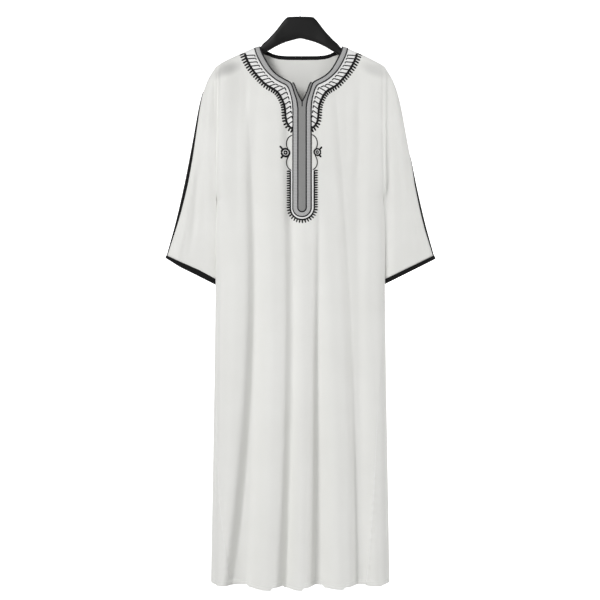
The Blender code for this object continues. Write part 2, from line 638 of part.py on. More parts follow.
wire.bevel_depth = WIRE_RADIUS
wire.bevel_resolution = 2
wire.use_fill_caps = True
spline = wire.splines.new("POLY")
spline.points.add(len(hook_route) - 1)
for spline_point, place in zip(spline.points, hook_route):
    spline_point.co = (*place, 1)
wire.materials.append(steel_wire)
bpy.context.scene.collection.objects.link(bpy.data.objects.new("hanger_hook", wire))
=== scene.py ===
"""White embroidered robe on a wide black hanger, in a plain studio.

Metres, +Z up, the robe's front towards -Y. The origin is the underside of the hook's crest. Heights
on the robe are drops below its neck point, the top of the shoulder seam, as they are on the solids.
"""

import math
from collections import namedtuple

import bmesh
import bpy
import numpy as np
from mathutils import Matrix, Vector


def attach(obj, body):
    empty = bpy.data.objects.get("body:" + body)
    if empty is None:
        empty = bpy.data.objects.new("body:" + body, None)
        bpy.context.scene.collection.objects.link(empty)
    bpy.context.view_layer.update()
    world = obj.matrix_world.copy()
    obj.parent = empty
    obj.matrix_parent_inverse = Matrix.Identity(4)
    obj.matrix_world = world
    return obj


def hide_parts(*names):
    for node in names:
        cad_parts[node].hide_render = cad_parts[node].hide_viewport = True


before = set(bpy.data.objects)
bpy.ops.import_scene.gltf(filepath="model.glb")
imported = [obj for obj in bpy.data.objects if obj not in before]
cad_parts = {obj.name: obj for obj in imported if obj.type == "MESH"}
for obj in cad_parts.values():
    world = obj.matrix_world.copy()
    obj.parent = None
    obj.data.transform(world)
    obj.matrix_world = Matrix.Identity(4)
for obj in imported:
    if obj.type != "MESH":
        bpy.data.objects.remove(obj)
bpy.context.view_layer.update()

# Hanger. A wide-shoulder hanger, one moulding of black polypropylene with a satin skin. Its neck is a
# tall flat web, which turns into rounded arms under the shoulder seams.
NECK_Z = -0.1598            # height of the neck point
CLOTH = 0.0015              # wall that the solids give the cloth
GAP = 0.0003                # between two pieces at a seam
MERGE = 0.00001             # points as close as this become one

Shoulder = namedtuple("Shoulder", "x drop")
SHOULDER = [
    Shoulder(0.0000, 0.0000), Shoulder(0.1015, 0.0000), Shoulder(0.1110, 0.0034), Shoulder(0.1327, 0.0130),
    Shoulder(0.1543, 0.0226), Shoulder(0.1735, 0.0322), Shoulder(0.1927, 0.0418), Shoulder(0.2030, 0.0487)]

Station = namedtuple("Station", "x top bottom half_depth squareness")
HANGER_NECK = [
    Station(0.0000, -0.0718, -0.0194, 0.0070, 0.62), Station(0.0170, -0.0716, -0.0158, 0.0070, 0.62),
    Station(0.0300, -0.0705, -0.0122, 0.0070, 0.62), Station(0.0345, -0.0674, -0.0110, 0.0070, 0.62),
    Station(0.0390, -0.0630, -0.0090, 0.0070, 0.62), Station(0.0463, -0.0540, -0.0062, 0.0072, 0.62),
    Station(0.0535, -0.0444, -0.0026, 0.0074, 0.62), Station(0.0610, -0.0350, 0.0010, 0.0076, 0.64),
    Station(0.0700, -0.0254, 0.0065, 0.0072, 0.68), Station(0.0790, -0.0158, 0.0118, 0.0068, 0.74),
    Station(0.0900, -0.0062, 0.0185, 0.0065, 0.82)]
ARM_X = [0.0975, 0.1110, 0.1327, 0.1543, 0.1735, 0.1870]
ARM_HEIGHT = 0.0225
ARM_DEPTH = (0.0066, 0.0108)        # half depths at the neck and near the arm's end
ARM_END = [(0.1915, 0.82), (0.1950, 0.56), (0.1970, 0.24), (0.1974, 0.0)]   # x, part of the section
ARM_PLAY = 0.0011           # below the cloth's inside along the arm
ARM_SQUARENESS = 0.90       # 1 is an ellipse
HANGER_GRID = (48, 190)


def linear(colour):
    """Linear red, green and blue of an sRGB hex colour, with full alpha."""
    parts = [int(colour[i:i + 2], 16) / 255 for i in (1, 3, 5)]
    return tuple(part / 12.92 if part <= 0.04045 else ((part + 0.055) / 1.055) ** 2.4
                 for part in parts) + (1.0,)


def add(tree, kind, settings=None, links=None):
    """Adds one node. Settings are socket values or properties, links are outputs for its sockets."""
    node = tree.nodes.new("ShaderNode" + kind)
    for name, value in (settings or {}).items():
        if isinstance(name, int) or name in node.inputs:
            node.inputs[name].default_value = value
        else:
            setattr(node, name, value)
    for name, output in (links or {}).items():
        tree.links.new(output, node.inputs[name])
    return node


def new_material(name, **sockets):
    """A Principled material with its uniform values set on the shader's own sockets."""
    material = bpy.data.materials.new(name)
    material.use_nodes = True
    shader = material.node_tree.nodes["Principled BSDF"]
    for socket, value in sockets.items():
        shader.inputs[socket.replace("_", " ")].default_value = value
    return material, material.node_tree, shader


def ease(low, high, value):
    """Rises smoothly from 0 at low to 1 at high."""
    part = np.clip((value - low) / (high - low), 0, 1)
    return part * part * (3 - 2 * part)


def blend(low, high, part):
    return low + (high - low) * part


def curve_through(rows, places):
    """Values of a table's columns at places counted in rows, on a smooth curve through them all."""
    table = np.array(rows, float)
    last = len(table) - 1
    low = np.clip(np.floor(places).astype(int), 0, last - 1)
    part = (np.asarray(places, float) - low)[..., None]
    before, start = table[np.maximum(low - 1, 0)], table[low]
    end, after = table[low + 1], table[np.minimum(low + 2, last)]
    first = np.where(low[..., None] > 0, (end - before) / 2, end - start)
    final = np.where(low[..., None] + 2 <= last, (after - start) / 2, end - start)
    square, cube = part ** 2, part ** 3
    return (start * (2 * cube - 3 * square + 1) + first * (cube - 2 * square + part)
            + end * (3 * square - 2 * cube) + final * (cube - square))


def signed_power(value, power):
    return np.sign(value) * np.abs(value) ** power


def shaped_grid(name, across, along, place, finish, facing=None, closed=False):
    """A piece shaped from a flat grid. place gives its points from the parts 0 to 1 across and along.
    facing is the way a sheet looks; without it the faces point away from the middle."""
    mesh = bmesh.new()
    mesh.loops.layers.uv.new("UVMap")
    bmesh.ops.create_grid(mesh, x_segments=across, y_segments=along, size=0.5, calc_uvs=True)
    flat = np.array([vertex.co[:2] for vertex in mesh.verts]) + 0.5
    for vertex, point in zip(mesh.verts, place(flat[:, 0], flat[:, 1])):
        vertex.co = point
    if closed:
        bmesh.ops.remove_doubles(mesh, verts=mesh.verts, dist=MERGE)
        bmesh.ops.dissolve_degenerate(mesh, edges=mesh.edges, dist=MERGE)
    bmesh.ops.recalc_face_normals(mesh, faces=mesh.faces)
    middle = sum((vertex.co for vertex in mesh.verts), Vector()) / len(mesh.verts)
    outward = sum(face.calc_area() * face.normal.dot(facing or face.calc_center_median() - middle)
                  for face in mesh.faces)
    if outward < 0:
        bmesh.ops.reverse_faces(mesh, faces=mesh.faces)
    piece = mesh_object(name, mesh, finish)
    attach(piece, "root")
    return piece


def mesh_object(name, mesh, finish):
    """A smooth shaded object from a bmesh."""
    data = bpy.data.meshes.new(name)
    mesh.to_mesh(data)
    mesh.free()
    data.shade_smooth()
    data.materials.append(finish)
    return place_in_scene(name, data)


def place_in_scene(name, data):
    thing = bpy.data.objects.new(name, data)
    bpy.context.scene.collection.objects.link(thing)
    return thing


def shoulder_drop(x):
    return np.interp(np.abs(x), [row.x for row in SHOULDER], [row.drop for row in SHOULDER])


# Moulded polypropylene: the tool's spark texture, a grain of 0.7 mm, gives a soft grey sheen on a black
# body, and wear makes patches of 45 mm. A noise's scale is 1000 divided by its grain in millimetres, and
# a wave's is 314 divided by the distance between its bands.
black_plastic, tree, shader = new_material(
    "moulded_black_polypropylene", Base_Color=linear("#0C0C0C"), Roughness=0.42, IOR=1.49,
    Specular_IOR_Level=0.35)
position = add(tree, "TexCoord").outputs["Object"]
grain = add(tree, "TexNoise", {"Scale": 1400.0, "Detail": 3.0}, {"Vector": position})
wear = add(tree, "TexNoise", {"Scale": 22.0, "Detail": 4.0}, {"Vector": position})
rough = add(tree, "MapRange", {"To Min": 0.36, "To Max": 0.50}, {"Value": wear.outputs["Fac"]})
tree.links.new(rough.outputs["Result"], shader.inputs["Roughness"])
bump = add(tree, "Bump", {"Strength": 0.25, "Distance": 0.0002}, {"Height": grain.outputs["Fac"]})
tree.links.new(bump.outputs["Normal"], shader.inputs["Normal"])

hanger_rows = list(HANGER_NECK)
for x in ARM_X:
    arm_top = float(shoulder_drop(x)) + CLOTH + ARM_PLAY
    arm_depth = blend(*ARM_DEPTH, float(ease(ARM_X[0], ARM_X[-1], x)))
    hanger_rows.append(Station(x, arm_top, arm_top + ARM_HEIGHT, arm_depth, ARM_SQUARENESS))
for x, scale in ARM_END:
    arm_middle = float(shoulder_drop(x)) + CLOTH + ARM_PLAY + ARM_HEIGHT / 2
    reach = ARM_HEIGHT / 2 * scale
    hanger_rows.append(Station(x, arm_middle - reach, arm_middle + reach, ARM_DEPTH[1] * scale, 1.0))
hanger_rows = [row._replace(x=-row.x) for row in hanger_rows[:0:-1]] + hanger_rows


def hanger_point(around, along):
    row = curve_through(hanger_rows, along * (len(hanger_rows) - 1))
    x, top, bottom, half_depth, squareness = row.T
    turn = 2 * math.pi * around
    rise = (bottom - top) / 2 * signed_power(np.cos(turn), squareness)
    return np.column_stack([x, half_depth * signed_power(np.sin(turn), squareness),
                            NECK_Z - (top + bottom) / 2 + rise])


moulding = shaped_grid("hanger_moulding", *HANGER_GRID, hanger_point, black_plastic, closed=True)
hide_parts("hanger_body")

# Hook. Steel wire 3.4 mm thick, bent and then plated, pushed into the top of the moulding. Its crest
# is over the shank, so that the hanger balances.
WIRE_RADIUS = 0.0017
LOOP_RADIUS = 0.0190 + WIRE_RADIUS
FILLET_RADIUS = 0.0080
LOOP_END = math.radians(196)
HANGER_TOP_Z = NECK_Z - HANGER_NECK[0].top
FILLET_STEPS = 10
LOOP_STEPS = 72
TIP_PART = 0.45             # part of its radius at the rounded end, and how fast it grows from there
TIP_GROWTH = 0.25
HOOK_ROUNDING = 6           # steps of its round section


def wire_object(name, routes, finish, radius, rounding):
    """Round wires or threads in one object. A route is its points and the parts of the radius there."""
    curve = bpy.data.curves.new(name, "CURVE")
    curve.dimensions = "3D"
    curve.bevel_depth = radius
    curve.bevel_resolution = rounding
    curve.use_fill_caps = True
    for points, parts in routes:
        spline = curve.splines.new("POLY")
        spline.points.add(len(points) - 1)
        spline.points.foreach_set("co", np.column_stack([points, np.ones(len(points))]).ravel())
        spline.points.foreach_set("radius", parts)
        spline.use_smooth = True
    curve.materials.append(finish)
    piece = place_in_scene(name, curve)
    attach(piece, "root")
    return piece


# Plated steel: a bright skin with the faint marks of the drawn wire under it, 4 mm long
plated_steel, tree, shader = new_material(
    "plated_steel_wire", Base_Color=linear("#C9CACC"), Metallic=1.0, Roughness=0.22)
position = add(tree, "TexCoord").outputs["Object"]
marks = add(tree, "TexNoise", {"Scale": 260.0, "Detail": 5.0}, {"Vector": position})
rough = add(tree, "MapRange", {"To Min": 0.16, "To Max": 0.32}, {"Value": marks.outputs["Fac"]})
tree.links.new(rough.outputs["Result"], shader.inputs["Roughness"])

loop_z = WIRE_RADIUS - LOOP_RADIUS
shank_z = loop_z - math.sqrt((LOOP_RADIUS + FILLET_RADIUS) ** 2 - FILLET_RADIUS ** 2)
meeting = math.atan2(shank_z - loop_z, FILLET_RADIUS)
hook_route = [(0, 0, HANGER_TOP_Z + GAP), (0, 0, blend(HANGER_TOP_Z, shank_z, 0.5))]
for i in range(FILLET_STEPS):
    turn = math.pi + meeting * i / FILLET_STEPS
    hook_route.append((FILLET_RADIUS * (1 + math.cos(turn)), 0, shank_z + FILLET_RADIUS * math.sin(turn)))
for i in range(LOOP_STEPS + 1):
    turn = blend(meeting, LOOP_END, i / LOOP_STEPS)
    hook_route.append((LOOP_RADIUS * math.cos(turn), 0, loop_z + LOOP_RADIUS * math.sin(turn)))
hook_radii = np.minimum(1, TIP_PART + TIP_GROWTH * np.arange(len(hook_route))[::-1])
hook = wire_object("hook_wire", [(hook_route, hook_radii)], plated_steel, WIRE_RADIUS, HOOK_ROUNDING)
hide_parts("hanger_hook")

# Front panel. One length of white plain-weave cotton and viscose, cut to the neckline and its notch,
# sewn to the back along the shoulders and sides. It hangs from the hanger's arms in soft upright folds.
HEM_DROP = 1.2827
HEM_DIP = 0.06              # part of a fold's depth by which the hem hangs lower there
HEM_LOBE = 0.0050           # and how much more a fold's lobe hangs down, past these fold depths
LOBE_FOLDS = (0.004, 0.009)
LOBE_START = 0.8            # part of the hem's drop at which the lobes begin
HEM_LAG = 0.020             # the lobes hang this far to the left of their folds
CENTRE_X = 0.0046           # centre line of notch and placket
NECK_LEAN = 0.023           # part by which the neck's left half is wider, and its right half narrower
ARCH_DROP = 0.020           # height of the rounding over the hanger's arm
LENS_POWER = 4.0            # squareness of the body's section
SHOULDER_POWER = 11.0       # and at the shoulders, from where one turns to the other over this drop
SHOULDER_REACH = 0.150
TIP_X = 0.2030              # tip of the shoulder, where body and sleeve part
TIP_DROP = 0.0487
UNDERARM_DROP = 0.368
ARMHOLE_DEPTH = 0.022
SLEEVE_POWER = 5.0          # squareness of the armholes and sleeves
GORE_TOP_DROP = 0.6080
SEAM_LAP = 0.008            # lap of the panels over the gores' pointed tops
SLOPE_STEP = 0.0004         # for measuring the slope of the cloth
SHEET = 0.0008              # the cloth as it shows at its edges
ARCH_SHARE = 0.045          # part of the rows that arch over the arm
DENSE_HEM = 0.016           # height over which the hem's rows are close together
FRONT_GRID = (196, 220)

Ring = namedtuple("Ring", "drop half_width front back")
BODY = [
    Ring(0.000, 0.2030, 0.0205, 0.0205), Ring(0.060, 0.2030, 0.0210, 0.0210),
    Ring(0.200, 0.2030, 0.0255, 0.0240), Ring(0.368, 0.2030, 0.0310, 0.0280),
    Ring(0.590, 0.2035, 0.0360, 0.0330), Ring(0.800, 0.2060, 0.0400, 0.0370),
    Ring(1.000, 0.2095, 0.0430, 0.0400), Ring(1.290, 0.2145, 0.0470, 0.0440)]

Neck = namedtuple("Neck", "half_width drop")
FRONT_NECK = [
    Neck(0.0000, 0.1375), Neck(0.0059, 0.1268), Neck(0.0121, 0.1121), Neck(0.0169, 0.0985),
    Neck(0.0205, 0.0914), Neck(0.0267, 0.0864), Neck(0.0424, 0.0816), Neck(0.0557, 0.0743),
    Neck(0.0690, 0.0621), Neck(0.0800, 0.0462), Neck(0.0893, 0.0284), Neck(0.0955, 0.0145),
    Neck(0.0988, 0.0050), Neck(0.1000, 0.0000)]

# Upright folds: line of the crest, from the chest by way of a pull to the hem, then the height at the
# hem and the width of each flank
Fold = namedtuple("Fold", "x_chest x_pull x_hem height rise fall")
FOLDS = {           # by side of the body: -1 is the front and 1 the back
    -1: [Fold(-0.171, -0.106, -0.189, 0.038, 0.050, 0.036), Fold(-0.072, -0.034, -0.068, 0.037, 0.062, 0.039),
         Fold(0.014, 0.020, 0.009, 0.037, 0.050, 0.030), Fold(0.047, 0.101, 0.106, 0.031, 0.066, 0.032),
         Fold(0.190, 0.192, 0.207, 0.034, 0.062, 0.012)],
    1: [Fold(-0.140, -0.146, -0.150, 0.024, 0.052, 0.034), Fold(-0.070, -0.052, -0.050, 0.032, 0.060, 0.032),
        Fold(0.014, 0.030, 0.034, 0.030, 0.052, 0.030), Fold(0.090, 0.114, 0.118, 0.026, 0.054, 0.032)]}
FOLD_START = 0.040          # drops where the folds begin and where they are full
FOLD_FULL = 1.240
FOLD_MOST = 1.05            # part of their full height that they grow to below that
FOLD_GROWTH = 0.70          # power by which they grow
FOLD_SINK = 0.014           # how far the cloth between them lies in
FOLD_LEAN = (1.25, 1.5)     # powers that lay the steep part of the left and right flank near its foot
SEAM_WELT = 0.0010          # height of the seam allowance under the cloth, and its flanks
WELT_FLANKS = (0.0050, 0.0020)
WELT_START = 0.10           # length over which the welt comes up at a gore's top
PUCKER_DEPTH = 0.0010
PUCKER_PITCH = 0.021
PUCKER_REACH = 0.011        # beside the seam
PUCKER_DROPS = (0.75, 1.10)         # where they begin and where they are full
HEM_TURN = 0.0100           # width of the turned hem
HEM_STEP = 0.0007
HEM_SLANT = 0.0016          # over which the step comes up
HEM_GROOVE = 0.0006         # the stitches' groove, above the step, and its width
HEM_GROOVE_WIDTH = 0.0018
ARMHOLE_FADE = 3            # power by which the open armhole fades towards the middle
HEM_FADE = 3                # and by which the hem's dip fades towards the side folds
SEAM_RISE = 3               # how fast the seams come up beside the side folds

# Creases laid on the folds: ridges and troughs that run from one point to another, with their
# height, the width of each flank and a sideways wander
Crease = namedtuple("Crease", "x top x_low low height rise fall wander")
CREASES = {         # by side of the body
    -1: [Crease(-0.187, -0.080, -0.195, 0.620, 0.0240, 0.010, 0.046, 0.0010),
         Crease(0.190, 0.000, 0.194, 0.640, 0.0110, 0.062, 0.007, 0.0010),
         Crease(-0.1955, -0.060, -0.1990, 0.480, -0.0060, 0.008, 0.006, 0.0008),
         Crease(-0.118, 0.060, -0.128, 0.330, 0.0022, 0.014, 0.022, 0.0020),
         Crease(0.132, 0.070, 0.122, 0.360, 0.0020, 0.022, 0.014, 0.0020),
         Crease(0.200, 0.460, 0.204, 1.900, 0.0110, 0.040, 0.004, 0.0010),
         Crease(-0.190, 0.300, -0.196, 1.900, 0.0170, 0.008, 0.060, 0.0010)],
    1: [Crease(-0.176, 0.060, -0.184, 0.560, 0.0060, 0.016, 0.040, 0.0012),
        Crease(0.184, 0.055, 0.190, 0.540, 0.0050, 0.036, 0.012, 0.0012),
        Crease(-0.030, 0.050, -0.010, 0.420, 0.0030, 0.026, 0.020, 0.0030),
        Crease(0.118, 0.500, 0.150, 1.100, 0.0030, 0.012, 0.016, 0.0030)]}
CREASE_TURN = 9             # how far a crease's wander turns from end to end, in radians
CREASE_SHIFT = 2.1          # and from one crease to the next
CREASE_FULL = (0.3, 0.6)    # parts of its length between which a crease is at its full height

# Gores, let into the sides: width on each panel, from the side fold to the seam
Gore = namedtuple("Gore", "drop left_front right_front back")
GORES = [
    Gore(0.608, 0.004, 0.004, 0.004), Gore(0.800, 0.005, 0.018, 0.016), Gore(0.944, 0.009, 0.029, 0.026),
    Gore(1.088, 0.020, 0.038, 0.036), Gore(1.232, 0.042, 0.052, 0.050), Gore(1.290, 0.056, 0.059, 0.057)]


def read(rows, value, column):
    """Reads a column of a table between its rows, whose first column rises."""
    return np.interp(value, [row[0] for row in rows], [getattr(row, column) for row in rows])


def half_width(drop):
    return read(BODY, drop, "half_width")


def gore_width(drop, side, hand):
    """Width of a gore on one panel. hand is -1 on the left and 1 on the right."""
    return read(GORES, drop, "back" if side > 0 else ("left_front" if hand < 0 else "right_front"))


def bell(part):
    """Falls smoothly from 1 at 0 to 0 at 1 and at -1."""
    return 0.5 + 0.5 * np.cos(math.pi * np.clip(part, -1, 1))


def fold_depth(x, drop, side):
    """How far the folds push the cloth out. The left flank of a fold is the gentle one."""
    down = np.clip((drop - FOLD_START) / (FOLD_FULL - FOLD_START), 0, FOLD_MOST)
    depth = np.full(np.shape(x), -FOLD_SINK)
    for fold in FOLDS[side]:
        line = (1 - down) ** 2 * fold.x_chest + 2 * down * (1 - down) * fold.x_pull + down ** 2 * fold.x_hem
        offset = x - line
        reach = np.abs(offset) / np.where(offset < 0, fold.rise, fold.fall)
        depth = depth + fold.height * bell(reach ** np.where(offset < 0, *FOLD_LEAN))
    return depth * down ** FOLD_GROWTH


def crease_depth(x, drop, creases):
    depth = np.zeros(np.shape(x))
    for i, crease in enumerate(creases):
        along = (drop - crease.top) / (crease.low - crease.top)
        wander = crease.wander * np.sin(CREASE_TURN * along + CREASE_SHIFT * i)
        offset = x - blend(crease.x, crease.x_low, along) - wander
        ends = ease(0, CREASE_FULL[0], along) * ease(1, CREASE_FULL[1], along)
        depth = depth + crease.height * bell(offset / np.where(offset < 0, crease.rise, crease.fall)) * ends
    return depth


def seam_depth(x, drop, side):
    """The gore's seam, a fine welt with puckers beside it, and the edge of the turned hem."""
    gore = np.where(x < 0, gore_width(drop, side, -1), gore_width(drop, side, 1))
    away = np.abs(x) - (half_width(drop) - gore)
    below = ease(GORE_TOP_DROP, GORE_TOP_DROP + WELT_START, drop)
    puckers = PUCKER_DEPTH * np.sin(2 * math.pi * drop / PUCKER_PITCH) * ease(*PUCKER_DROPS, drop)
    turned = drop - HEM_DROP + HEM_TURN
    hem = HEM_STEP * (ease(-HEM_SLANT, 0, turned) - np.exp(-((turned + HEM_GROOVE) / HEM_GROOVE_WIDTH) ** 2))
    welt = SEAM_WELT * np.exp(-(away / np.where(away * np.sign(x) < 0, *WELT_FLANKS)) ** 2)
    return hem + below * (welt - puckers * np.exp(-(away / PUCKER_REACH) ** 2))


def body_depth(x, drop, side):
    """Half depth of the body: a rounded ring, its folds and creases, the arch over the hanger's arm and
    the open armhole at its edge. side is -1 in front and 1 behind."""
    part = np.minimum(1, np.abs(x) / half_width(drop))
    ring = read(BODY, drop, "front" if side < 0 else "back")
    folds = fold_depth(x, drop, side)
    creases = crease_depth(x, drop, CREASES[side])
    below_seam = np.maximum(0, drop - shoulder_drop(x))
    power = blend(SHOULDER_POWER, LENS_POWER, ease(0, SHOULDER_REACH, below_seam))
    lens = np.sqrt(np.maximum(0, 1 - part ** power))
    arch = np.sqrt(1 - (1 - np.minimum(1, below_seam / ARCH_DROP)) ** 2)
    down = np.clip((drop - TIP_DROP) / (UNDERARM_DROP - TIP_DROP), 0, 1)
    armhole = ARMHOLE_DEPTH * np.sqrt(1 - np.abs(2 * down - 1) ** SLEEVE_POWER) * part ** ARMHOLE_FADE
    return np.hypot(np.hypot((ring + folds * lens) * lens * arch, armhole) + creases * lens * arch
                    + seam_depth(x, drop, side) * np.minimum(1, SEAM_RISE * lens), GAP / 2)


def body_point(x, drop, side):
    """Points on the outside of the body. The hem hangs lower in a lobe a little to the left of each
    fold, and level at the side folds."""
    folds = fold_depth(x + HEM_LAG, drop, side)
    edge = np.minimum(1, np.abs(x) / half_width(drop)) ** HEM_FADE
    dip = (HEM_DIP * folds * ease(FOLD_START, HEM_DROP, drop)
           + HEM_LOBE * ease(*LOBE_FOLDS, folds) * ease(LOBE_START * HEM_DROP, HEM_DROP, drop)) * (1 - edge)
    return np.column_stack([x, side * body_depth(x, drop, side), NECK_Z - drop - dip])


def body_normal(x, drop, side):
    across = body_depth(x + SLOPE_STEP, drop, side) - body_depth(x - SLOPE_STEP, drop, side)
    down = body_depth(x, drop + SLOPE_STEP, side) - body_depth(x, drop - SLOPE_STEP, side)
    normal = np.column_stack([-across, np.full(np.shape(x), side * 2 * SLOPE_STEP), down])
    return normal / np.linalg.norm(normal, axis=1, keepdims=True)


def off_cloth(x, drop, lift, side=-1):
    """Points that stand off the outside of the body by lift."""
    return body_point(x, drop, side) + body_normal(x, drop, side) * np.reshape(lift, (-1, 1))


def neck_x(hand, beside):
    """Place of a point beside the centre line."""
    return CENTRE_X + hand * beside * (1 - hand * NECK_LEAN)


def neck_drop(rows, x):
    """Drop of a neckline at x, or of the shoulder seam beside it."""
    beside = x - CENTRE_X
    beside = np.abs(beside) / (1 - np.copysign(NECK_LEAN, beside))
    drop = np.where(beside < rows[-1].half_width, read(rows, beside, "drop"), 0)
    return np.maximum(drop, shoulder_drop(x))


def panel_edge(drop, side, hand):
    """Half width of a panel: to the side fold, or to the gore's seam lower down."""
    return half_width(drop) - np.where(drop < GORE_TOP_DROP + SEAM_LAP, 0, gore_width(drop, side, hand))


def spread(part, dense_edge=0.90, dense_share=0.14):
    """Column places from -1 to 1, set close together where the panel turns round the side folds."""
    place = 2 * part - 1
    inner = np.abs(place) / (1 - dense_share)
    start = math.asin(dense_edge ** (LENS_POWER / 2))
    outer = blend(start, math.pi / 2, np.clip((np.abs(place) - 1 + dense_share) / dense_share, 0, 1))
    return np.sign(place) * np.where(inner < 1, dense_edge * inner, np.sin(outer) ** (2 / LENS_POWER))


def down_to_hem(start, part, hem_share=0.05):
    """Drops from start to the hem, with rows set close together over the turned hem."""
    dense = HEM_DROP - DENSE_HEM
    return np.where(part < 1 - hem_share, blend(start, dense, part / (1 - hem_share)),
                    blend(dense, HEM_DROP, (part - 1 + hem_share) / hem_share))


def panel_place(side, top_of):
    """Layout of a panel whose columns follow its own side edges. The first rows arch over the arm."""
    def place(across, along):
        column = spread(across)
        top = top_of(column * TIP_X)
        arch = ARCH_DROP * (1 - np.cos(math.pi / 2 * np.clip(along / ARCH_SHARE, 0, 1)))
        lower = np.clip((along - ARCH_SHARE) / (1 - ARCH_SHARE), 0, 1)
        below = down_to_hem(top + ARCH_DROP, lower)
        drop = np.where(along < ARCH_SHARE, top + arch, below)
        edge_drop = np.where(along < ARCH_SHARE, TIP_DROP + arch,
                             down_to_hem(TIP_DROP + ARCH_DROP, lower))
        edge = np.where(column < 0, panel_edge(edge_drop, side, -1), panel_edge(edge_drop, side, 1))
        return body_point(column * edge, drop, side)
    return place


def give_thickness(piece, thickness):
    """Turns a sheet into cloth as thick as it shows, inwards from its outer face."""
    solidify = piece.modifiers.new("cloth", "SOLIDIFY")
    solidify.thickness = thickness
    solidify.offset = -1


# Painted shade: grey patches painted into the cloth's colour over the ends of the hanger's arms, for the dark
# arms and their shadow seen through the thin cloth
PAINTED_HANGER_SHADE = [(-0.1740, 0.0600, 0.46), (0.1760, 0.0600, 0.24)]    # x, drop and strength
PAINTED_HANGER_SHADE_SLOPE = math.radians(24)
PAINTED_HANGER_SHADE_SIZE = (0.036, 0.2, 0.017)
PAINTED_HANGER_SHADE_EDGE = (1.30, 0.20)    # parts of that size where the grey begins and where it is full

# Plain-weave cotton and viscose, washed and pressed: soft and almost matt, with a faint sheen from its
# fibres, slubs 42 mm long that thicken a thread here and there, and a slight unevenness of white
white_cloth, tree, shader = new_material(
    "white_plain_weave", Base_Color=linear("#F1F1ED"), Roughness=0.78, IOR=1.45,
    Sheen_Weight=0.20, Sheen_Roughness=0.45)
position = add(tree, "TexCoord").outputs["Object"]
threads = []
for axis in "XZ":       # threads are 0.4 mm apart in the real cloth, drawn 1.1 mm apart so that they show
    threads.append(add(tree, "TexWave", {"bands_direction": axis, "Scale": 285.0, "Distortion": 1.2,
                                         "Detail": 2.0, "Detail Scale": 2.0},
                       {"Vector": position}))
weave = add(tree, "Math", {"operation": "MULTIPLY"},
            {0: threads[0].outputs["Fac"], 1: threads[1].outputs["Fac"]})
stretch = add(tree, "Mapping", {"Scale": (260.0, 260.0, 24.0)}, {"Vector": position})
slubs = add(tree, "TexNoise", {"Scale": 1.0, "Detail": 3.0}, {"Vector": stretch.outputs["Vector"]})
height = add(tree, "Math", {"operation": "ADD"}, {0: weave.outputs["Value"], 1: slubs.outputs["Fac"]})
bump = add(tree, "Bump", {"Strength": 0.12, "Distance": 0.0003}, {"Height": height.outputs["Value"]})
tree.links.new(bump.outputs["Normal"], shader.inputs["Normal"])
cloud = add(tree, "TexNoise", {"Scale": 9.0, "Detail": 4.0}, {"Vector": position})
tone = add(tree, "ValToRGB", {}, {"Fac": cloud.outputs["Fac"]})
tone.color_ramp.elements[0].color = linear("#ECECE8")
tone.color_ramp.elements[1].color = linear("#F6F6F3")
shown = tone.outputs["Color"]
# Painted shade: each patch mixes the cloth's colour towards grey over an arm's end, for the arm and its
# shadow seen through the cloth
for x, drop, amount in PAINTED_HANGER_SHADE:        # the black arms' ends show grey through the cloth
    end = add(tree, "Mapping", {"vector_type": "TEXTURE", "Location": (x, 0, NECK_Z - drop),
                                "Rotation": (0, math.copysign(PAINTED_HANGER_SHADE_SLOPE, x), 0),
                                "Scale": PAINTED_HANGER_SHADE_SIZE}, {"Vector": position})
    away = add(tree, "VectorMath", {"operation": "LENGTH"}, {0: end.outputs["Vector"]})
    inside = add(tree, "MapRange", {"interpolation_type": "SMOOTHSTEP", "From Min": PAINTED_HANGER_SHADE_EDGE[0],
                                    "From Max": PAINTED_HANGER_SHADE_EDGE[1], "To Max": amount},
                 {"Value": away.outputs["Value"]})
    shade = add(tree, "Mix", {"data_type": "RGBA"}, {"Factor": inside.outputs["Result"]})
    tree.links.new(shown, shade.inputs[6])
    shade.inputs[7].default_value = linear("#8C8C8A")
    shown = shade.outputs[2]
tree.links.new(shown, shader.inputs["Base Color"])

front = shaped_grid("front_panel", *FRONT_GRID, panel_place(-1, lambda x: neck_drop(FRONT_NECK, x)),
                    white_cloth, facing=Vector((0, -1, 0)))
give_thickness(front, SHEET)
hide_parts("front")

# Back panel. The same cloth, cut in one length from the shoulders to the hem, with a shallow neckline
# whose raw edge is inside the black binding.
BACK_NECK = [
    Neck(0.0000, 0.0185), Neck(0.0370, 0.0183), Neck(0.0563, 0.0166), Neck(0.0684, 0.0134),
    Neck(0.0790, 0.0085), Neck(0.0899, 0.0050), Neck(0.0975, 0.0030), Neck(0.1000, 0.0000)]
BINDING_WIDTH = 0.0096
BACK_GRID = (150, 200)


def back_top(x):
    """Upper edge of the back panel, half way up inside the binding."""
    end = BACK_NECK[-1].half_width
    inside = (x > neck_x(-1, end)) & (x < neck_x(1, end))
    return np.where(inside, neck_drop(BACK_NECK, x) + BINDING_WIDTH / 2, shoulder_drop(x))


back = shaped_grid("back_panel", *BACK_GRID, panel_place(1, back_top), white_cloth, facing=Vector((0, 1, 0)))
give_thickness(back, SHEET)
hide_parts("back")

# Neck binding. Black cotton twill tape, folded over the raw edge of the back neckline and sewn down
# along its middle, which leaves a roll on each side of the stitches.
BINDING_THICK = 0.0011      # half of its thickness
BINDING_ROLL = 0.45         # part by which the stitches pull its middle in
BINDING_PULL = 0.13         # part of its width over which they pull
BINDING_SQUARENESS = 0.7
BINDING_GRID = (24, 120)


def way_across(turn):
    """How far across a round section a turn has come: 0 at its start and end, 1 half way round."""
    return 0.5 - 0.5 * np.cos(turn)


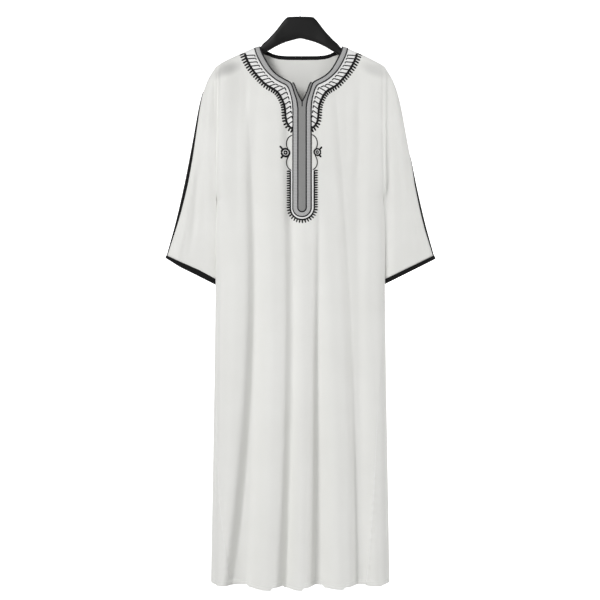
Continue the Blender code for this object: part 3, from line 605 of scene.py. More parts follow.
def binding_point(around, along):
    turn = 2 * math.pi * around
    end = BACK_NECK[-1].half_width - GAP
    side_place = 2 * along - 1
    x = np.where(side_place < 0, neck_x(-1, end * -side_place), neck_x(1, end * side_place))
    down = way_across(turn)
    pull = 1 - BINDING_ROLL * np.exp(-((down - 0.5) / BINDING_PULL) ** 2)
    drop = neck_drop(BACK_NECK, x) + BINDING_WIDTH * down
    lift = BINDING_THICK * signed_power(np.sin(turn), BINDING_SQUARENESS) * pull - SHEET
    return off_cloth(x, drop, lift, 1)


# Cotton twill tape, dyed black: matt, with fine slanting ribs that catch a little light. They are under
# 1 mm apart in the real tape, and drawn 1.8 mm apart so that they show.
black_tape, tree, shader = new_material(
    "black_cotton_twill_tape", Base_Color=linear("#141414"), Roughness=0.80, IOR=1.45,
    Specular_IOR_Level=0.20)
position = add(tree, "TexCoord").outputs["Object"]
ribs = add(tree, "TexWave", {"bands_direction": "DIAGONAL", "Scale": 200.0, "Distortion": 0.6, "Detail": 1.0},
           {"Vector": position})
fluff = add(tree, "TexNoise", {"Scale": 60.0, "Detail": 5.0}, {"Vector": position})
tone = add(tree, "ValToRGB", {}, {"Fac": fluff.outputs["Fac"]})
tone.color_ramp.elements[0].color = linear("#101010")
tone.color_ramp.elements[1].color = linear("#1C1C1D")
tree.links.new(tone.outputs["Color"], shader.inputs["Base Color"])
bump = add(tree, "Bump", {"Strength": 0.35, "Distance": 0.0004}, {"Height": ribs.outputs["Fac"]})
tree.links.new(bump.outputs["Normal"], shader.inputs["Normal"])

binding = shaped_grid("neck_binding", *BINDING_GRID, binding_point, black_tape, closed=True)
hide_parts("back_neck_binding")

# Gores. Long narrow triangles of the same cloth, let into the side seams to widen the hem, and folded
# round the sides so that their seams slant over the front and the back.
GORE_GRID = (72, 120)
GORE_HEM_SHARE = 0.09       # part of the rows that lie close together over the turned hem
HANDS = (("left", -1), ("right", 1))


def gore_place(hand):
    def place(across, along):
        drop = down_to_hem(GORE_TOP_DROP + GAP, along, GORE_HEM_SHARE)
        width = half_width(drop)
        points = np.zeros((len(drop), 3))
        for side in (-1, 1):
            start = np.arcsin(((width - gore_width(drop, side, hand)) / width) ** (LENS_POWER / 2))
            turn = blend(start, math.pi / 2, 1 - np.abs(2 * across - 1))
            mine = (across < 0.5) if side < 0 else (across >= 0.5)
            points[mine] = body_point(hand * width * np.sin(turn) ** (2 / LENS_POWER), drop, side)[mine]
        return points
    return place


for side_name, hand in HANDS:
    gore = shaped_grid("gore_panel_" + side_name, *GORE_GRID, gore_place(hand), white_cloth,
                       facing=Vector((hand, 0, 0)))
    give_thickness(gore, SHEET)
    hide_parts("gore_" + side_name)

# Sleeves. Wide three-quarter sleeves of the same cloth, sewn flat into the open armholes. They hang
# down beside the body, pressed nearly flat, and end in a slant.
Cut = namedtuple("Cut", "outer_x outer_drop inner_x inner_drop half_depth set_back")
SLEEVE = [
    Cut(0.2030, 0.0487, 0.2005, 0.3720, 0.0220, 0.000), Cut(0.2245, 0.0850, 0.1990, 0.3840, 0.0220, 0.004),
    Cut(0.2410, 0.1370, 0.1964, 0.4090, 0.0218, 0.008), Cut(0.2590, 0.2310, 0.1946, 0.4500, 0.0215, 0.012),
    Cut(0.2770, 0.3220, 0.1934, 0.4890, 0.0210, 0.015), Cut(0.2985, 0.4160, 0.1928, 0.5280, 0.0205, 0.017),
    Cut(0.3217, 0.5010, 0.1922, 0.5640, 0.0200, 0.018)]
SLEEVE_CREASES = {      # by side of the body and of the sleeve
    (-1, -1): [Crease(-0.219, -0.020, -0.219, 0.480, 0.0060, 0.016, 0.020, 0.0010),
               Crease(-0.236, 0.250, -0.268, 0.520, -0.0032, 0.012, 0.014, 0.0015),
               Crease(-0.262, 0.330, -0.300, 0.560, 0.0016, 0.012, 0.010, 0.0015)],
    (1, -1): [Crease(0.208, -0.060, 0.208, 0.640, -0.0050, 0.012, 0.022, 0.0010),
              Crease(0.226, 0.030, 0.262, 0.500, 0.0022, 0.014, 0.012, 0.0015),
              Crease(0.250, 0.300, 0.296, 0.560, 0.0018, 0.014, 0.012, 0.0015)],
    (-1, 1): [Crease(-0.214, 0.020, -0.222, 0.520, 0.0040, 0.020, 0.014, 0.0010),
              Crease(-0.240, 0.220, -0.276, 0.540, -0.0030, 0.014, 0.014, 0.0015)],
    (1, 1): [Crease(0.215, 0.020, 0.224, 0.520, 0.0040, 0.014, 0.020, 0.0010),
             Crease(0.246, 0.240, 0.284, 0.540, -0.0028, 0.014, 0.012, 0.0015)]}
SLEEVE_GRID = (64, 130)
CREASE_GROWTH = 0.4         # distance from the armhole over which the creases come up, in cuts
SIDES = (("front", -1), ("back", 1))


def sleeve_surface(hand, side, turn, place):
    """Points of a sleeve half. turn runs from the outer fold to the underarm, and place is counted in
    cuts from the armhole."""
    cut = curve_through(SLEEVE, place)
    outer_x, outer_drop, inner_x, inner_drop, half_depth, set_back = cut.T
    part = way_across(turn)
    lens = np.sqrt(np.maximum(0, 1 - np.abs(np.cos(turn)) ** SLEEVE_POWER))
    x, drop = hand * blend(outer_x, inner_x, part), blend(outer_drop, inner_drop, part)
    creases = np.zeros(np.shape(x))
    for way in (-1, 1):
        creases = np.where(np.sign(side) == way, crease_depth(x, drop, SLEEVE_CREASES[hand, way]), creases)
    bulge = np.hypot(half_depth * lens, GAP / 2) + creases * lens * ease(0, CREASE_GROWTH, place)
    return np.column_stack([x, set_back + side * bulge, NECK_Z - drop])


for side_name, hand in HANDS:
    for half, side in SIDES:
        sleeve = shaped_grid(
            "sleeve_panel_" + side_name + "_" + half, *SLEEVE_GRID,
            lambda across, along: sleeve_surface(hand, side, math.pi * across, along * (len(SLEEVE) - 1)),
            white_cloth, facing=Vector((0, side, 0)))
        give_thickness(sleeve, SHEET)
        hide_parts("sleeve_" + side_name + "_" + half)

# Cuff bindings. The same black tape, folded round the slanted end of each sleeve and sewn through. More
# of it shows towards the underarm.
CUFF_WIDTH = 0.0096
CUFF_THICK = 0.0013         # half of its thickness
CUFF_ROLL = 0.25            # part by which the stitches pull it in, at this part of its width
CUFF_STITCHES = 0.42
CUFF_PULL = 0.13
CUFF_SQUARENESS = 0.6
CUFF_STEP = 0.01            # for measuring the direction of the edge, in radians
CUFF_GRID = (20, 130)
Shown = namedtuple("Shown", "place width overlap")   # parts: way to the underarm, width, lap on the sleeve
CUFF_SHOWN = {-1: [Shown(0, 0.66, 0), Shown(0.3, 1.22, 0.12), Shown(0.6, 1.42, 0.30), Shown(1, 1.28, 0.06)],
              1: [Shown(0, 0.92, 0), Shown(1, 1.12, 0.06)]}


def cuff_place(hand):
    cut = SLEEVE[-1]
    way = np.array([hand * (cut.inner_drop - cut.outer_drop), 0, cut.inner_x - cut.outer_x])
    way *= (CUFF_WIDTH + GAP) / np.linalg.norm(way)     # down the sleeve, square to its slanted end

    def place(across, along):
        turn, section = 2 * math.pi * along, 2 * math.pi * across
        sleeve_end = np.full(len(turn), len(SLEEVE) - 1.0)
        edge, ahead = (sleeve_surface(hand, np.where(step < math.pi, -1, 1), step, sleeve_end)
                       for step in (turn, turn + CUFF_STEP))
        outward = np.cross(ahead - edge, way) * -hand
        outward /= np.linalg.norm(outward, axis=1, keepdims=True)
        down = way_across(section)
        pull = 1 - CUFF_ROLL * np.exp(-((down - CUFF_STITCHES) / CUFF_PULL) ** 2)
        lift = CUFF_THICK * signed_power(np.sin(section), CUFF_SQUARENESS) * pull - SHEET
        shown, overlap = (read(CUFF_SHOWN[hand], way_across(turn), column) for column in ("width", "overlap"))
        return edge + way * (down * shown - overlap)[:, None] + outward * lift[:, None]
    return place


for side_name, hand in HANDS:
    cuff = shaped_grid("cuff_tape_" + side_name, *CUFF_GRID, cuff_place(hand), black_tape, closed=True)
    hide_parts("cuff_binding_" + side_name)

# Sleeve tapes. A narrow black tape sewn along the outer fold of each sleeve, more of it in front than
# behind, which narrows to nothing near the shoulder. On the right its upper part is turned to the back.
Tape = namedtuple("Tape", "place left left_behind right right_behind")
TAPE = [            # place in cuts, and how far round the fold it reaches in front and behind, in degrees
    Tape(1.5, 4, 3, -12, 16), Tape(1.9, 16, 5, -12, 20), Tape(2.4, 24, 7, -12, 24), Tape(3.2, 30, 8, -10, 22),
    Tape(3.7, 31, 8, 12, 12), Tape(4.0, 31, 8, 20, 8), Tape(4.6, 28, 8, 22, 8), Tape(5.2, 22, 8, 21, 8),
    Tape(5.6, 17, 7, 18, 7), Tape(6.0, 12, 7, 14, 7)]
TAPE_THICK = 0.0009
TAPE_FACING = 3             # the tape's face turns this much faster than the squarish fold's own angle
TAPE_GRID = (8, 110)


def tape_place(side_name, hand):
    def place(across, along):
        row = blend(TAPE[0].place, TAPE[-1].place, along)
        reach = blend(-read(TAPE, row, side_name + "_behind"), read(TAPE, row, side_name), across)
        turn = np.radians(reach)
        facing = TAPE_FACING * turn
        away = np.column_stack([hand * np.cos(facing), -np.sin(facing), np.zeros(len(turn))])
        points = sleeve_surface(hand, np.where(turn < 0, 1, -1), np.abs(turn), row)
        return points + away * (TAPE_THICK + GAP)
    return place


for side_name, hand in HANDS:
    tape = shaped_grid("sleeve_edge_tape_" + side_name, *TAPE_GRID, tape_place(side_name, hand), black_tape,
                       facing=Vector((hand, 0, 0)))
    give_thickness(tape, TAPE_THICK)
    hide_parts("sleeve_tape_" + side_name)

# Neck braid. A light grey woven braid, sewn round the neckline, down both sides of the placket and
# round its foot, and edged on both sides with a thin dark cord.
Braid = namedtuple("Braid", "outer_x outer_drop inner_x inner_drop")
BRAID = [
    Braid(0.1110, 0.0060, 0.0992, 0.0030), Braid(0.1075, 0.0199, 0.0960, 0.0150),
    Braid(0.0996, 0.0380, 0.0895, 0.0290), Braid(0.0874, 0.0584, 0.0796, 0.0470),
    Braid(0.0752, 0.0719, 0.0688, 0.0626), Braid(0.0607, 0.0840, 0.0555, 0.0748),
    Braid(0.0474, 0.0914, 0.0425, 0.0822), Braid(0.0376, 0.0962, 0.0279, 0.0905),
    Braid(0.0314, 0.1047, 0.0229, 0.1000), Braid(0.0267, 0.1192, 0.0181, 0.1156),
    Braid(0.0231, 0.1351, 0.0128, 0.1323), Braid(0.0214, 0.1563, 0.0098, 0.1515)]
BRAID_OUTER = 0.0214
BRAID_INNER = 0.0098
BRAID_FOOT_DROP = 0.3896
BRAID_THICK = 0.0013
BRAID_SQUARENESS = 0.45
BRAID_UNDERSIDE = -0.1      # part of its thickness that lies below the cloth's face
BRAID_GRID = (18, 460)
RIB_PITCH = 0.0036
NECK_STEPS, SIDE_STEPS, FOOT_STEPS = 110, 60, 24    # points of the edges on each half


def route_length(route):
    return float(np.linalg.norm(np.diff(route, axis=0), axis=1).sum())


def even_route(route, count):
    """A route's points set at even distances along it."""
    route = np.asarray(route, float)
    length = np.concatenate([[0], np.cumsum(np.linalg.norm(np.diff(route, axis=0), axis=1))])
    wanted = np.linspace(0, length[-1], count)
    return np.column_stack([np.interp(wanted, length, column) for column in route.T])


def route_at(route, part):
    """Rows of an even route at parts of its length."""
    return np.column_stack([np.interp(part * (len(route) - 1), np.arange(len(route)), column)
                            for column in route.T])


def braid_edges():
    """Both edges of the braid, outer x and drop and inner x and drop, from the left end to the right."""
    half = list(curve_through(BRAID, np.linspace(0, len(BRAID) - 1, NECK_STEPS)))
    for drop in np.linspace(BRAID[-1].outer_drop, BRAID_FOOT_DROP, SIDE_STEPS)[1:]:
        half.append((BRAID_OUTER, drop, BRAID_INNER, drop))
    for turn in np.linspace(0, math.pi / 2, FOOT_STEPS)[1:]:
        half.append((BRAID_OUTER * math.cos(turn), BRAID_FOOT_DROP + BRAID_OUTER * math.sin(turn),
                     BRAID_INNER * math.cos(turn), BRAID_FOOT_DROP + BRAID_INNER * math.sin(turn)))
    half = np.array(half)
    rows = []
    for hand, part in ((-1, half), (1, half[-2::-1])):
        rows.append(np.column_stack([neck_x(hand, part[:, 0]), part[:, 1],
                                     neck_x(hand, part[:, 2]), part[:, 3]]))
    return even_route(np.concatenate(rows), BRAID_GRID[1] + 1)


EDGES = braid_edges()
BRAID_LENGTH = route_length((EDGES[:, :2] + EDGES[:, 2:]) / 2)


def braid_point(around, along):
    turn = 2 * math.pi * around
    outer_x, outer_drop, inner_x, inner_drop = route_at(EDGES, along).T
    inward = way_across(turn)
    lift = BRAID_THICK * signed_power(np.maximum(np.sin(turn), BRAID_UNDERSIDE), BRAID_SQUARENESS)
    return off_cloth(blend(outer_x, inner_x, inward), blend(outer_drop, inner_drop, inward), lift)


# Woven viscose braid, light grey: ribs across it with a low silky sheen. The real ones are 1.8 mm apart,
# and these are drawn at twice that so that they show.
light_braid, tree, shader = new_material(
    "light_grey_viscose_braid", Base_Color=linear("#BEBEBE"), Roughness=0.58, IOR=1.46,
    Sheen_Weight=0.15, Sheen_Roughness=0.4)
unwrapped = add(tree, "UVMap", {"uv_map": "UVMap"})
rib_scale = add(tree, "Mapping", {"Scale": (60.0, BRAID_LENGTH / RIB_PITCH, 1.0)},
                {"Vector": unwrapped.outputs["UV"]})
ribs = add(tree, "TexWave", {"bands_direction": "Y", "Scale": 1.0 / math.pi, "Distortion": 1.5},
           {"Vector": rib_scale.outputs["Vector"]})
tone = add(tree, "ValToRGB", {}, {"Fac": ribs.outputs["Fac"]})
tone.color_ramp.elements[0].color = linear("#A6A6A6")
tone.color_ramp.elements[1].color = linear("#BEBEBE")
tree.links.new(tone.outputs["Color"], shader.inputs["Base Color"])
bump = add(tree, "Bump", {"Strength": 0.4, "Distance": 0.0004}, {"Height": ribs.outputs["Fac"]})
tree.links.new(bump.outputs["Normal"], shader.inputs["Normal"])

braid = shaped_grid("neck_and_placket_braid", *BRAID_GRID, braid_point, light_braid, closed=True)
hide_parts("neck_braid")

# Placket strip. A darker grey stitched strip that fills the placket inside the braid, and splits into
# a narrow arm up each edge of the notch.
STRIP_HALF = BRAID_INNER - GAP
STRIP_ARM_END = 0.0235
STRIP_THICK = 0.0009
STRIP_ARM_ROWS = 7          # the braid's rows beside the arms begin here
STRIP_COLUMNS = 14          # on each half, and as many again on its arm
STRIP_GRID = (54, 110)


def strip_place(across, along):
    columns = np.concatenate([np.linspace(0, STRIP_HALF, STRIP_COLUMNS),
                              np.linspace(STRIP_HALF + GAP / 2, STRIP_ARM_END, STRIP_COLUMNS)])
    columns = np.concatenate([-columns[:0:-1], columns])
    beside = np.interp(across * (len(columns) - 1), np.arange(len(columns)), columns)
    hand = np.where(beside < 0, -1, 1)
    beside = np.abs(beside)
    top = read(FRONT_NECK, beside, "drop") + 2 * GAP
    foot = BRAID_FOOT_DROP + np.sqrt(np.maximum(0, STRIP_HALF ** 2 - beside ** 2))
    arm_rows = sorted((row.inner_x, row.inner_drop) for row in BRAID[STRIP_ARM_ROWS:])
    arm = np.interp(beside + GAP, *zip(*arm_rows)) - 2 * GAP
    drop = blend(top, np.where(beside <= STRIP_HALF, foot, arm), along)
    return off_cloth(neck_x(hand, beside), drop, GAP + STRIP_THICK)


# Mercerised cotton, stitched densely in grey: upright rows 1.8 mm apart, with a low lustre
grey_stitching, tree, shader = new_material(
    "grey_stitched_cotton", Base_Color=linear("#949493"), Roughness=0.55, IOR=1.46,
    Sheen_Weight=0.15, Sheen_Roughness=0.4)
position = add(tree, "TexCoord").outputs["Object"]
rows = add(tree, "TexWave", {"bands_direction": "X", "Scale": 170.0, "Distortion": 0.8, "Detail": 1.0},
           {"Vector": position})
lift = add(tree, "TexWave", {"bands_direction": "Z", "Scale": 120.0, "Distortion": 1.0},
           {"Vector": position})
both = add(tree, "Math", {"operation": "MULTIPLY"}, {0: rows.outputs["Fac"], 1: lift.outputs["Fac"]})
tone = add(tree, "ValToRGB", {}, {"Fac": both.outputs["Value"]})
tone.color_ramp.elements[0].color = linear("#828281")
tone.color_ramp.elements[1].color = linear("#A3A3A2")
tree.links.new(tone.outputs["Color"], shader.inputs["Base Color"])
bump = add(tree, "Bump", {"Strength": 0.5, "Distance": 0.0004}, {"Height": both.outputs["Value"]})
tree.links.new(bump.outputs["Normal"], shader.inputs["Normal"])

strip = shaped_grid("placket_fill", *STRIP_GRID, strip_place, grey_stitching, facing=Vector((0, -1, 0)))
give_thickness(strip, STRIP_THICK)
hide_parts("placket_strip")

# Braid cords. Thin dark cords, couched along both edges of the braid and along the notch, whose two
# cords meet at its point and end in a short tail.
Stroke = namedtuple("Stroke", "route width lift", defaults=(0.0,))    # route of x and drop on the body
THREAD_STEP = 0.0016
THREAD_RADIUS = 0.001       # radius that the strokes' own widths are set against
THREAD_ROUNDING = 2
THREAD_SUNK = 0.35          # part of its radius by which a thread lies in the cloth
THREAD_TIP = 0.55           # part of its width at a stroke's ends
CORD_WIDTH = 0.0031
INNER_CORD_WIDTH = 0.0036
NOTCH_CORD_WIDTH = 0.0032
CORD_LIFT = 0.0011
NOTCH_CORD_START = (0.0226, 0.0914)
TAIL_DROP = 0.1490


def thread_object(name, strokes, finish, side=-1):
    """Threads laid on the body, one stroke after another, in one object. side is -1 in front."""
    routes = []
    for stroke in strokes:
        route = even_route(stroke.route, max(4, int(route_length(stroke.route) / THREAD_STEP)))
        radius = np.full(len(route), stroke.width / 2)
        radius[[0, -1]] *= THREAD_TIP
        points = off_cloth(*route.T, stroke.lift - THREAD_SUNK * stroke.width / 2, side)
        routes.append((points, radius / THREAD_RADIUS))
    return wire_object(name, routes, finish, THREAD_RADIUS, THREAD_ROUNDING)


def both_sides(rows):
    """A route beside the centre line, given as (beside, drop), on the left and on the right."""
    rows = np.asarray(rows, float)
    return [np.column_stack([neck_x(hand, rows[:, 0]), rows[:, 1]]) for hand in (-1, 1)]


# Cotton cord, dyed dark: matt, with a fine twist, 1.5 mm from turn to turn
dark_cord, tree, shader = new_material(
    "dark_cotton_cord", Base_Color=linear("#262627"), Roughness=0.75, IOR=1.46,
    Specular_IOR_Level=0.12)
position = add(tree, "TexCoord").outputs["Object"]
twist = add(tree, "TexWave", {"bands_direction": "DIAGONAL", "Scale": 420.0, "Distortion": 0.4},
            {"Vector": position})
tone = add(tree, "ValToRGB", {}, {"Fac": twist.outputs["Fac"]})
tone.color_ramp.elements[0].color = linear("#202021")
tone.color_ramp.elements[1].color = linear("#38383A")
tree.links.new(tone.outputs["Color"], shader.inputs["Base Color"])
bump = add(tree, "Bump", {"Strength": 0.4, "Distance": 0.0003}, {"Height": twist.outputs["Fac"]})
tree.links.new(bump.outputs["Normal"], shader.inputs["Normal"])

notch = [NOTCH_CORD_START] + [(row.half_width, row.drop) for row in FRONT_NECK[4::-1]] + [(0.0, TAIL_DROP)]
cords = [Stroke(EDGES[:, :2], CORD_WIDTH, CORD_LIFT), Stroke(EDGES[:, 2:], INNER_CORD_WIDTH, CORD_LIFT)]
cords += [Stroke(route, NOTCH_CORD_WIDTH, CORD_LIFT) for route in both_sides(notch)]
thread_object("braid_cords", cords, dark_cord)

# Embroidery. Black cotton in satin stitch: a comb that follows the neckline, a ladder of hooks between
# it and the braid, a ring with two spikes on each side, and a comb round the foot of the placket.
SPINE = [           # the neckline's comb, beside the centre line and drop
    (0.1339, 0.0197), (0.1295, 0.0336), (0.1210, 0.0510), (0.1103, 0.0671), (0.0973, 0.0828),
    (0.0854, 0.0950), (0.0747, 0.1021), (0.0629, 0.1095), (0.0533, 0.1193), (0.0463, 0.1328),
    (0.0414, 0.1461), (0.0395, 0.1620), (0.0393, 0.1679), (0.0365, 0.1838), (0.0300, 0.1953),
    (0.0221, 0.2010)]
HOOK_ENDS = [       # line on which the ladder's hooks end
    (0.1095, 0.0289), (0.1035, 0.0450), (0.0938, 0.0597), (0.0822, 0.0744), (0.0664, 0.0908),
    (0.0548, 0.0979), (0.0409, 0.1044), (0.0351, 0.1162), (0.0284, 0.1386), (0.0251, 0.1640),
    (0.0216, 0.1886), (0.0214, 0.2000)]
SPINE_WIDTH = 0.0060
TICK_PITCH = 0.0066
TICK_WIDTH = 0.0046
TICK_LENGTH = [(0.0, 0.0128), (0.35, 0.0095), (0.80, 0.0090), (1.0, 0.0105)]   # part of the spine, length
TICK_LIFT = 0.0002
TICK_LEAN = 0.10            # part by which ticks lean on along the spine
HOOKS = 20
HOOK_SPACING = 1.10         # power that sets the upper hooks closer
HOOK_PARTS = (0.030, 0.985)         # parts of the spine at its first and last hook
HOOK_WIDTH = 0.0029
HOOK_LENGTH = [(0.0, 0.0042), (0.25, 0.0054), (0.5, 0.0082), (0.75, 0.0074), (1.0, 0.0045)]
GROUND_LIFT = 0.0005        # height of the white ground under the hooks
FOOT_SPINE = 0.0284         # comb round the placket's foot: beside the centre line
FOOT_TOP_DROP = 0.3018
FOOT_SPINE_WIDTH = 0.0046
FOOT_TICK_WIDTH = 0.0040
FOOT_TICK_LENGTH = 0.0085
FOOT_TICK_PITCH = 0.0058
ROUTE_STEPS, STEM_STEPS, ARC_STEPS, FOOT_ROUTE_STEPS = 90, 24, 28, 200      # points of each route
Motif = namedtuple("Motif", "hand beside drop radius")
MOTIFS = [Motif(-1, 0.0388, 0.2582, 0.0109), Motif(1, 0.0367, 0.2575, 0.0092)]
MOTIF_RINGS = [(0.84, 0.52), (0.32, 0.38)]      # parts of the radius: place and width of its black rings
SPIKES = [(0.66, -0.76, 1.86), (0.60, 0.80, 1.66)]  # across, down and length, in radii, away from the braid
SPIKE_START = 0.9           # in radii
SPIKE_WIDTH = 0.0052
STEM_WIDTH = 0.0030
UPPER_STEM = [(0.0236, 0.2160), (0.0300, 0.2200), (0.0345, 0.2260), (0.0366, 0.2340), (0.0362, 0.2420),
              (0.0330, 0.2500)]
LOWER_STEM = [(0.0310, 0.2650), (0.0352, 0.2735), (0.0367, 0.2815), (0.0350, 0.2900), (0.0305, 0.2965),
              (0.0250, 0.3008)]


def curved_route(rows, count=ROUTE_STEPS):
    """A smooth curve through the rows, with its points at even distances."""
    return even_route(curve_through(rows, np.linspace(0, len(rows) - 1, 8 * len(rows))), count)


def place_on(route, part):
    """Point of a route and its direction, at a part of its length."""
    step = part * (len(route) - 1)
    low = min(int(step), len(route) - 2)
    way = route[low + 1] - route[low]
    return route[low] + way * (step - low), way / np.linalg.norm(way)


def comb_strokes(route, length_of, pitch, width, spine_width, outward):
    """A spine with ticks on its outer side. outward is 1 or -1, the side of its direction they are on."""
    strokes = [Stroke(route, spine_width)]
    count = round(route_length(route) / pitch)
    for i in range(count + 1):
        point, way = place_on(route, i / count)
        out = np.array([-way[1], way[0]]) * outward + way * TICK_LEAN
        strokes.append(Stroke([point, point + out * length_of(i / count)], width, TICK_LIFT))
    return strokes


def on_side(hand, strokes):
    """Strokes given as (beside, drop), on one side of the centre line."""
    return [stroke._replace(route=[(neck_x(hand, beside), drop) for beside, drop in stroke.route])
            for stroke in strokes]


def arc(centre, radius, start, end):
    turn = np.linspace(start, end, ARC_STEPS)
    return np.column_stack([centre[0] + radius * np.cos(turn), centre[1] + radius * np.sin(turn)])


def round_foot(beside, top_drop):
    """A route down the left of the placket, round its foot and up its right."""
    foot = arc((0, BRAID_FOOT_DROP), beside, math.pi, 0)
    foot[[0, -1]] = (-beside, BRAID_FOOT_DROP), (beside, BRAID_FOOT_DROP)
    route = np.concatenate([[(-beside, top_drop)], foot, [(beside, top_drop)]])
    return even_route(route, FOOT_ROUTE_STEPS) + (CENTRE_X, 0)


def ring_strokes(motif, rings, lift=0.0):
    return [Stroke(arc((motif.beside, motif.drop), motif.radius * place, 0, 2 * math.pi),
                   motif.radius * width, lift) for place, width in rings]


# Mercerised cotton, dyed black: satin stitches with a fine lustre across them, in fibres of 1 mm
black_thread, tree, shader = new_material(
    "black_mercerised_cotton", Base_Color=linear("#121212"), Roughness=0.65, IOR=1.47,
    Specular_IOR_Level=0.12)
position = add(tree, "TexCoord").outputs["Object"]
fibres = add(tree, "TexNoise", {"Scale": 900.0, "Detail": 2.0}, {"Vector": position})
tone = add(tree, "ValToRGB", {}, {"Fac": fibres.outputs["Fac"]})
tone.color_ramp.elements[0].color = linear("#0E0E0F")
tone.color_ramp.elements[1].color = linear("#262627")
tree.links.new(tone.outputs["Color"], shader.inputs["Base Color"])
bump = add(tree, "Bump", {"Strength": 0.4, "Distance": 0.0003}, {"Height": fibres.outputs["Fac"]})
tree.links.new(bump.outputs["Normal"], shader.inputs["Normal"])

spine = curved_route(SPINE)
hook_ends = curved_route(HOOK_ENDS)
half = comb_strokes(spine, lambda part: np.interp(part, *zip(*TICK_LENGTH)), TICK_PITCH, TICK_WIDTH,
                    SPINE_WIDTH, -1)
for i in range(HOOKS):
    part = (i / (HOOKS - 1)) ** HOOK_SPACING
    start, way = place_on(spine, blend(*HOOK_PARTS, part))
    end, way = place_on(hook_ends, part)
    corner = end - way * np.interp(part, *zip(*HOOK_LENGTH))
    half.append(Stroke([start, corner, end], HOOK_WIDTH, GROUND_LIFT))
black_strokes = on_side(-1, half) + on_side(1, half)
black_strokes += comb_strokes(round_foot(FOOT_SPINE, FOOT_TOP_DROP), lambda part: FOOT_TICK_LENGTH,
                              FOOT_TICK_PITCH, FOOT_TICK_WIDTH, FOOT_SPINE_WIDTH, 1)
for motif in MOTIFS:
    spikes = [Stroke([(motif.beside + across * motif.radius * part, motif.drop + down * motif.radius * part)
                      for part in (SPIKE_START, length)], SPIKE_WIDTH) for across, down, length in SPIKES]
    stems = [Stroke(curved_route(rows, STEM_STEPS), STEM_WIDTH) for rows in (UPPER_STEM, LOWER_STEM)]
    black_strokes += on_side(motif.hand, ring_strokes(motif, MOTIF_RINGS) + spikes + stems)
thread_object("black_embroidery", black_strokes, black_thread)

# White embroidery. The ladder's ground, a line between the braid and the comb at the foot, and the
# light parts of the rings, in bright white satin stitch that stands a little above the cloth.
GROUND_GRID = (16, 150)
GROUND_TOP = [(0.1330, 0.0160)]     # the ground's outer and inner upper corner and its lower inner one
GROUND_INNER_TOP = [(0.1110, 0.0062)]
GROUND_INNER_END = [(BRAID_OUTER, 0.2020)]
GROUND_POWER = 4            # squareness of its section
FOOT_GROUND = (0.0222, 0.0272)      # inner and outer edge of the line at the foot
FOOT_GROUND_TOP_DROP = FOOT_TOP_DROP - 0.004
FOOT_GROUND_GRID = (10, 200)
WHITE_RINGS = [(0.57, 0.17), (0.04, 0.18)]      # parts of a motif's radius: place and width

# Mercerised cotton, bleached: bright white satin stitches, with a rib of 1 mm from thread to thread
white_thread, tree, shader = new_material(
    "white_mercerised_cotton", Base_Color=linear("#FAFAF9"), Roughness=0.55, IOR=1.47,
    Sheen_Weight=0.20, Sheen_Roughness=0.4)
position = add(tree, "TexCoord").outputs["Object"]
ribs = add(tree, "TexWave", {"bands_direction": "Z", "Scale": 300.0, "Distortion": 1.0},
           {"Vector": position})
bump = add(tree, "Bump", {"Strength": 0.2, "Distance": 0.0003}, {"Height": ribs.outputs["Fac"]})
tree.links.new(bump.outputs["Normal"], shader.inputs["Normal"])


def ground_place(inner, outer):
    """A low dome of satin stitch between two routes of x and drop."""
    def place(across, along):
        x, drop = blend(route_at(inner, along), route_at(outer, along), across[:, None]).T
        dome = np.sqrt(np.maximum(0, 1 - (2 * across - 1) ** GROUND_POWER))
        return off_cloth(x, drop, GROUND_LIFT * dome - GAP / 2)
    return place


braid_side = [(row.outer_x, row.outer_drop) for row in BRAID[1:]]
ground_inner = curved_route(GROUND_INNER_TOP + braid_side + GROUND_INNER_END)
ground_outer = curved_route(GROUND_TOP + SPINE)
for (side_name, hand), inner, outer in zip(HANDS, both_sides(ground_inner), both_sides(ground_outer)):
    shaped_grid("white_ground_" + side_name, *GROUND_GRID, ground_place(inner, outer), white_thread,
                facing=Vector((0, -1, 0)))
foot_edges = [round_foot(beside, FOOT_GROUND_TOP_DROP) for beside in FOOT_GROUND]
shaped_grid("white_ground_foot", *FOOT_GROUND_GRID, ground_place(*foot_edges), white_thread,
            facing=Vector((0, -1, 0)))
white_strokes = []
for motif in MOTIFS:
    white_strokes += on_side(motif.hand, ring_strokes(motif, WHITE_RINGS, CORD_LIFT / 2))
thread_object("white_embroidery", white_strokes, white_thread)

# Hem stitches. The turned hem is sewn down with white cotton, in stitches 4 mm apart, just under its
# upper edge.
STITCH_LENGTH = 0.0026
STITCH_PITCH = 0.0040
STITCH_WIDTH = 0.0009
STITCH_DROP = HEM_DROP - HEM_TURN + 0.0012
STITCHED_PART = 0.985       # of the body's half width, up to the side folds

# Cotton sewing thread, bleached and spun: matt, with fibres of 0.7 mm
sewing_thread, tree, shader = new_material(
    "white_cotton_sewing_thread", Base_Color=linear("#D9D9D6"), Roughness=0.7, IOR=1.46)
position = add(tree, "TexCoord").outputs["Object"]
fibres = add(tree, "TexNoise", {"Scale": 1500.0, "Detail": 2.0}, {"Vector": position})
bump = add(tree, "Bump", {"Strength": 0.3, "Distance": 0.0002}, {"Height": fibres.outputs["Fac"]})
tree.links.new(bump.outputs["Normal"], shader.inputs["Normal"])

reach = STITCHED_PART * float(half_width(HEM_DROP))
starts = np.arange(-reach, reach - STITCH_LENGTH, STITCH_PITCH)
stitches = [Stroke([(x, STITCH_DROP), (x + STITCH_LENGTH, STITCH_DROP)], STITCH_WIDTH) for x in starts]
for side_name, side in SIDES:
    thread_object("hem_stitches_" + side_name, stitches, sewing_thread, side)

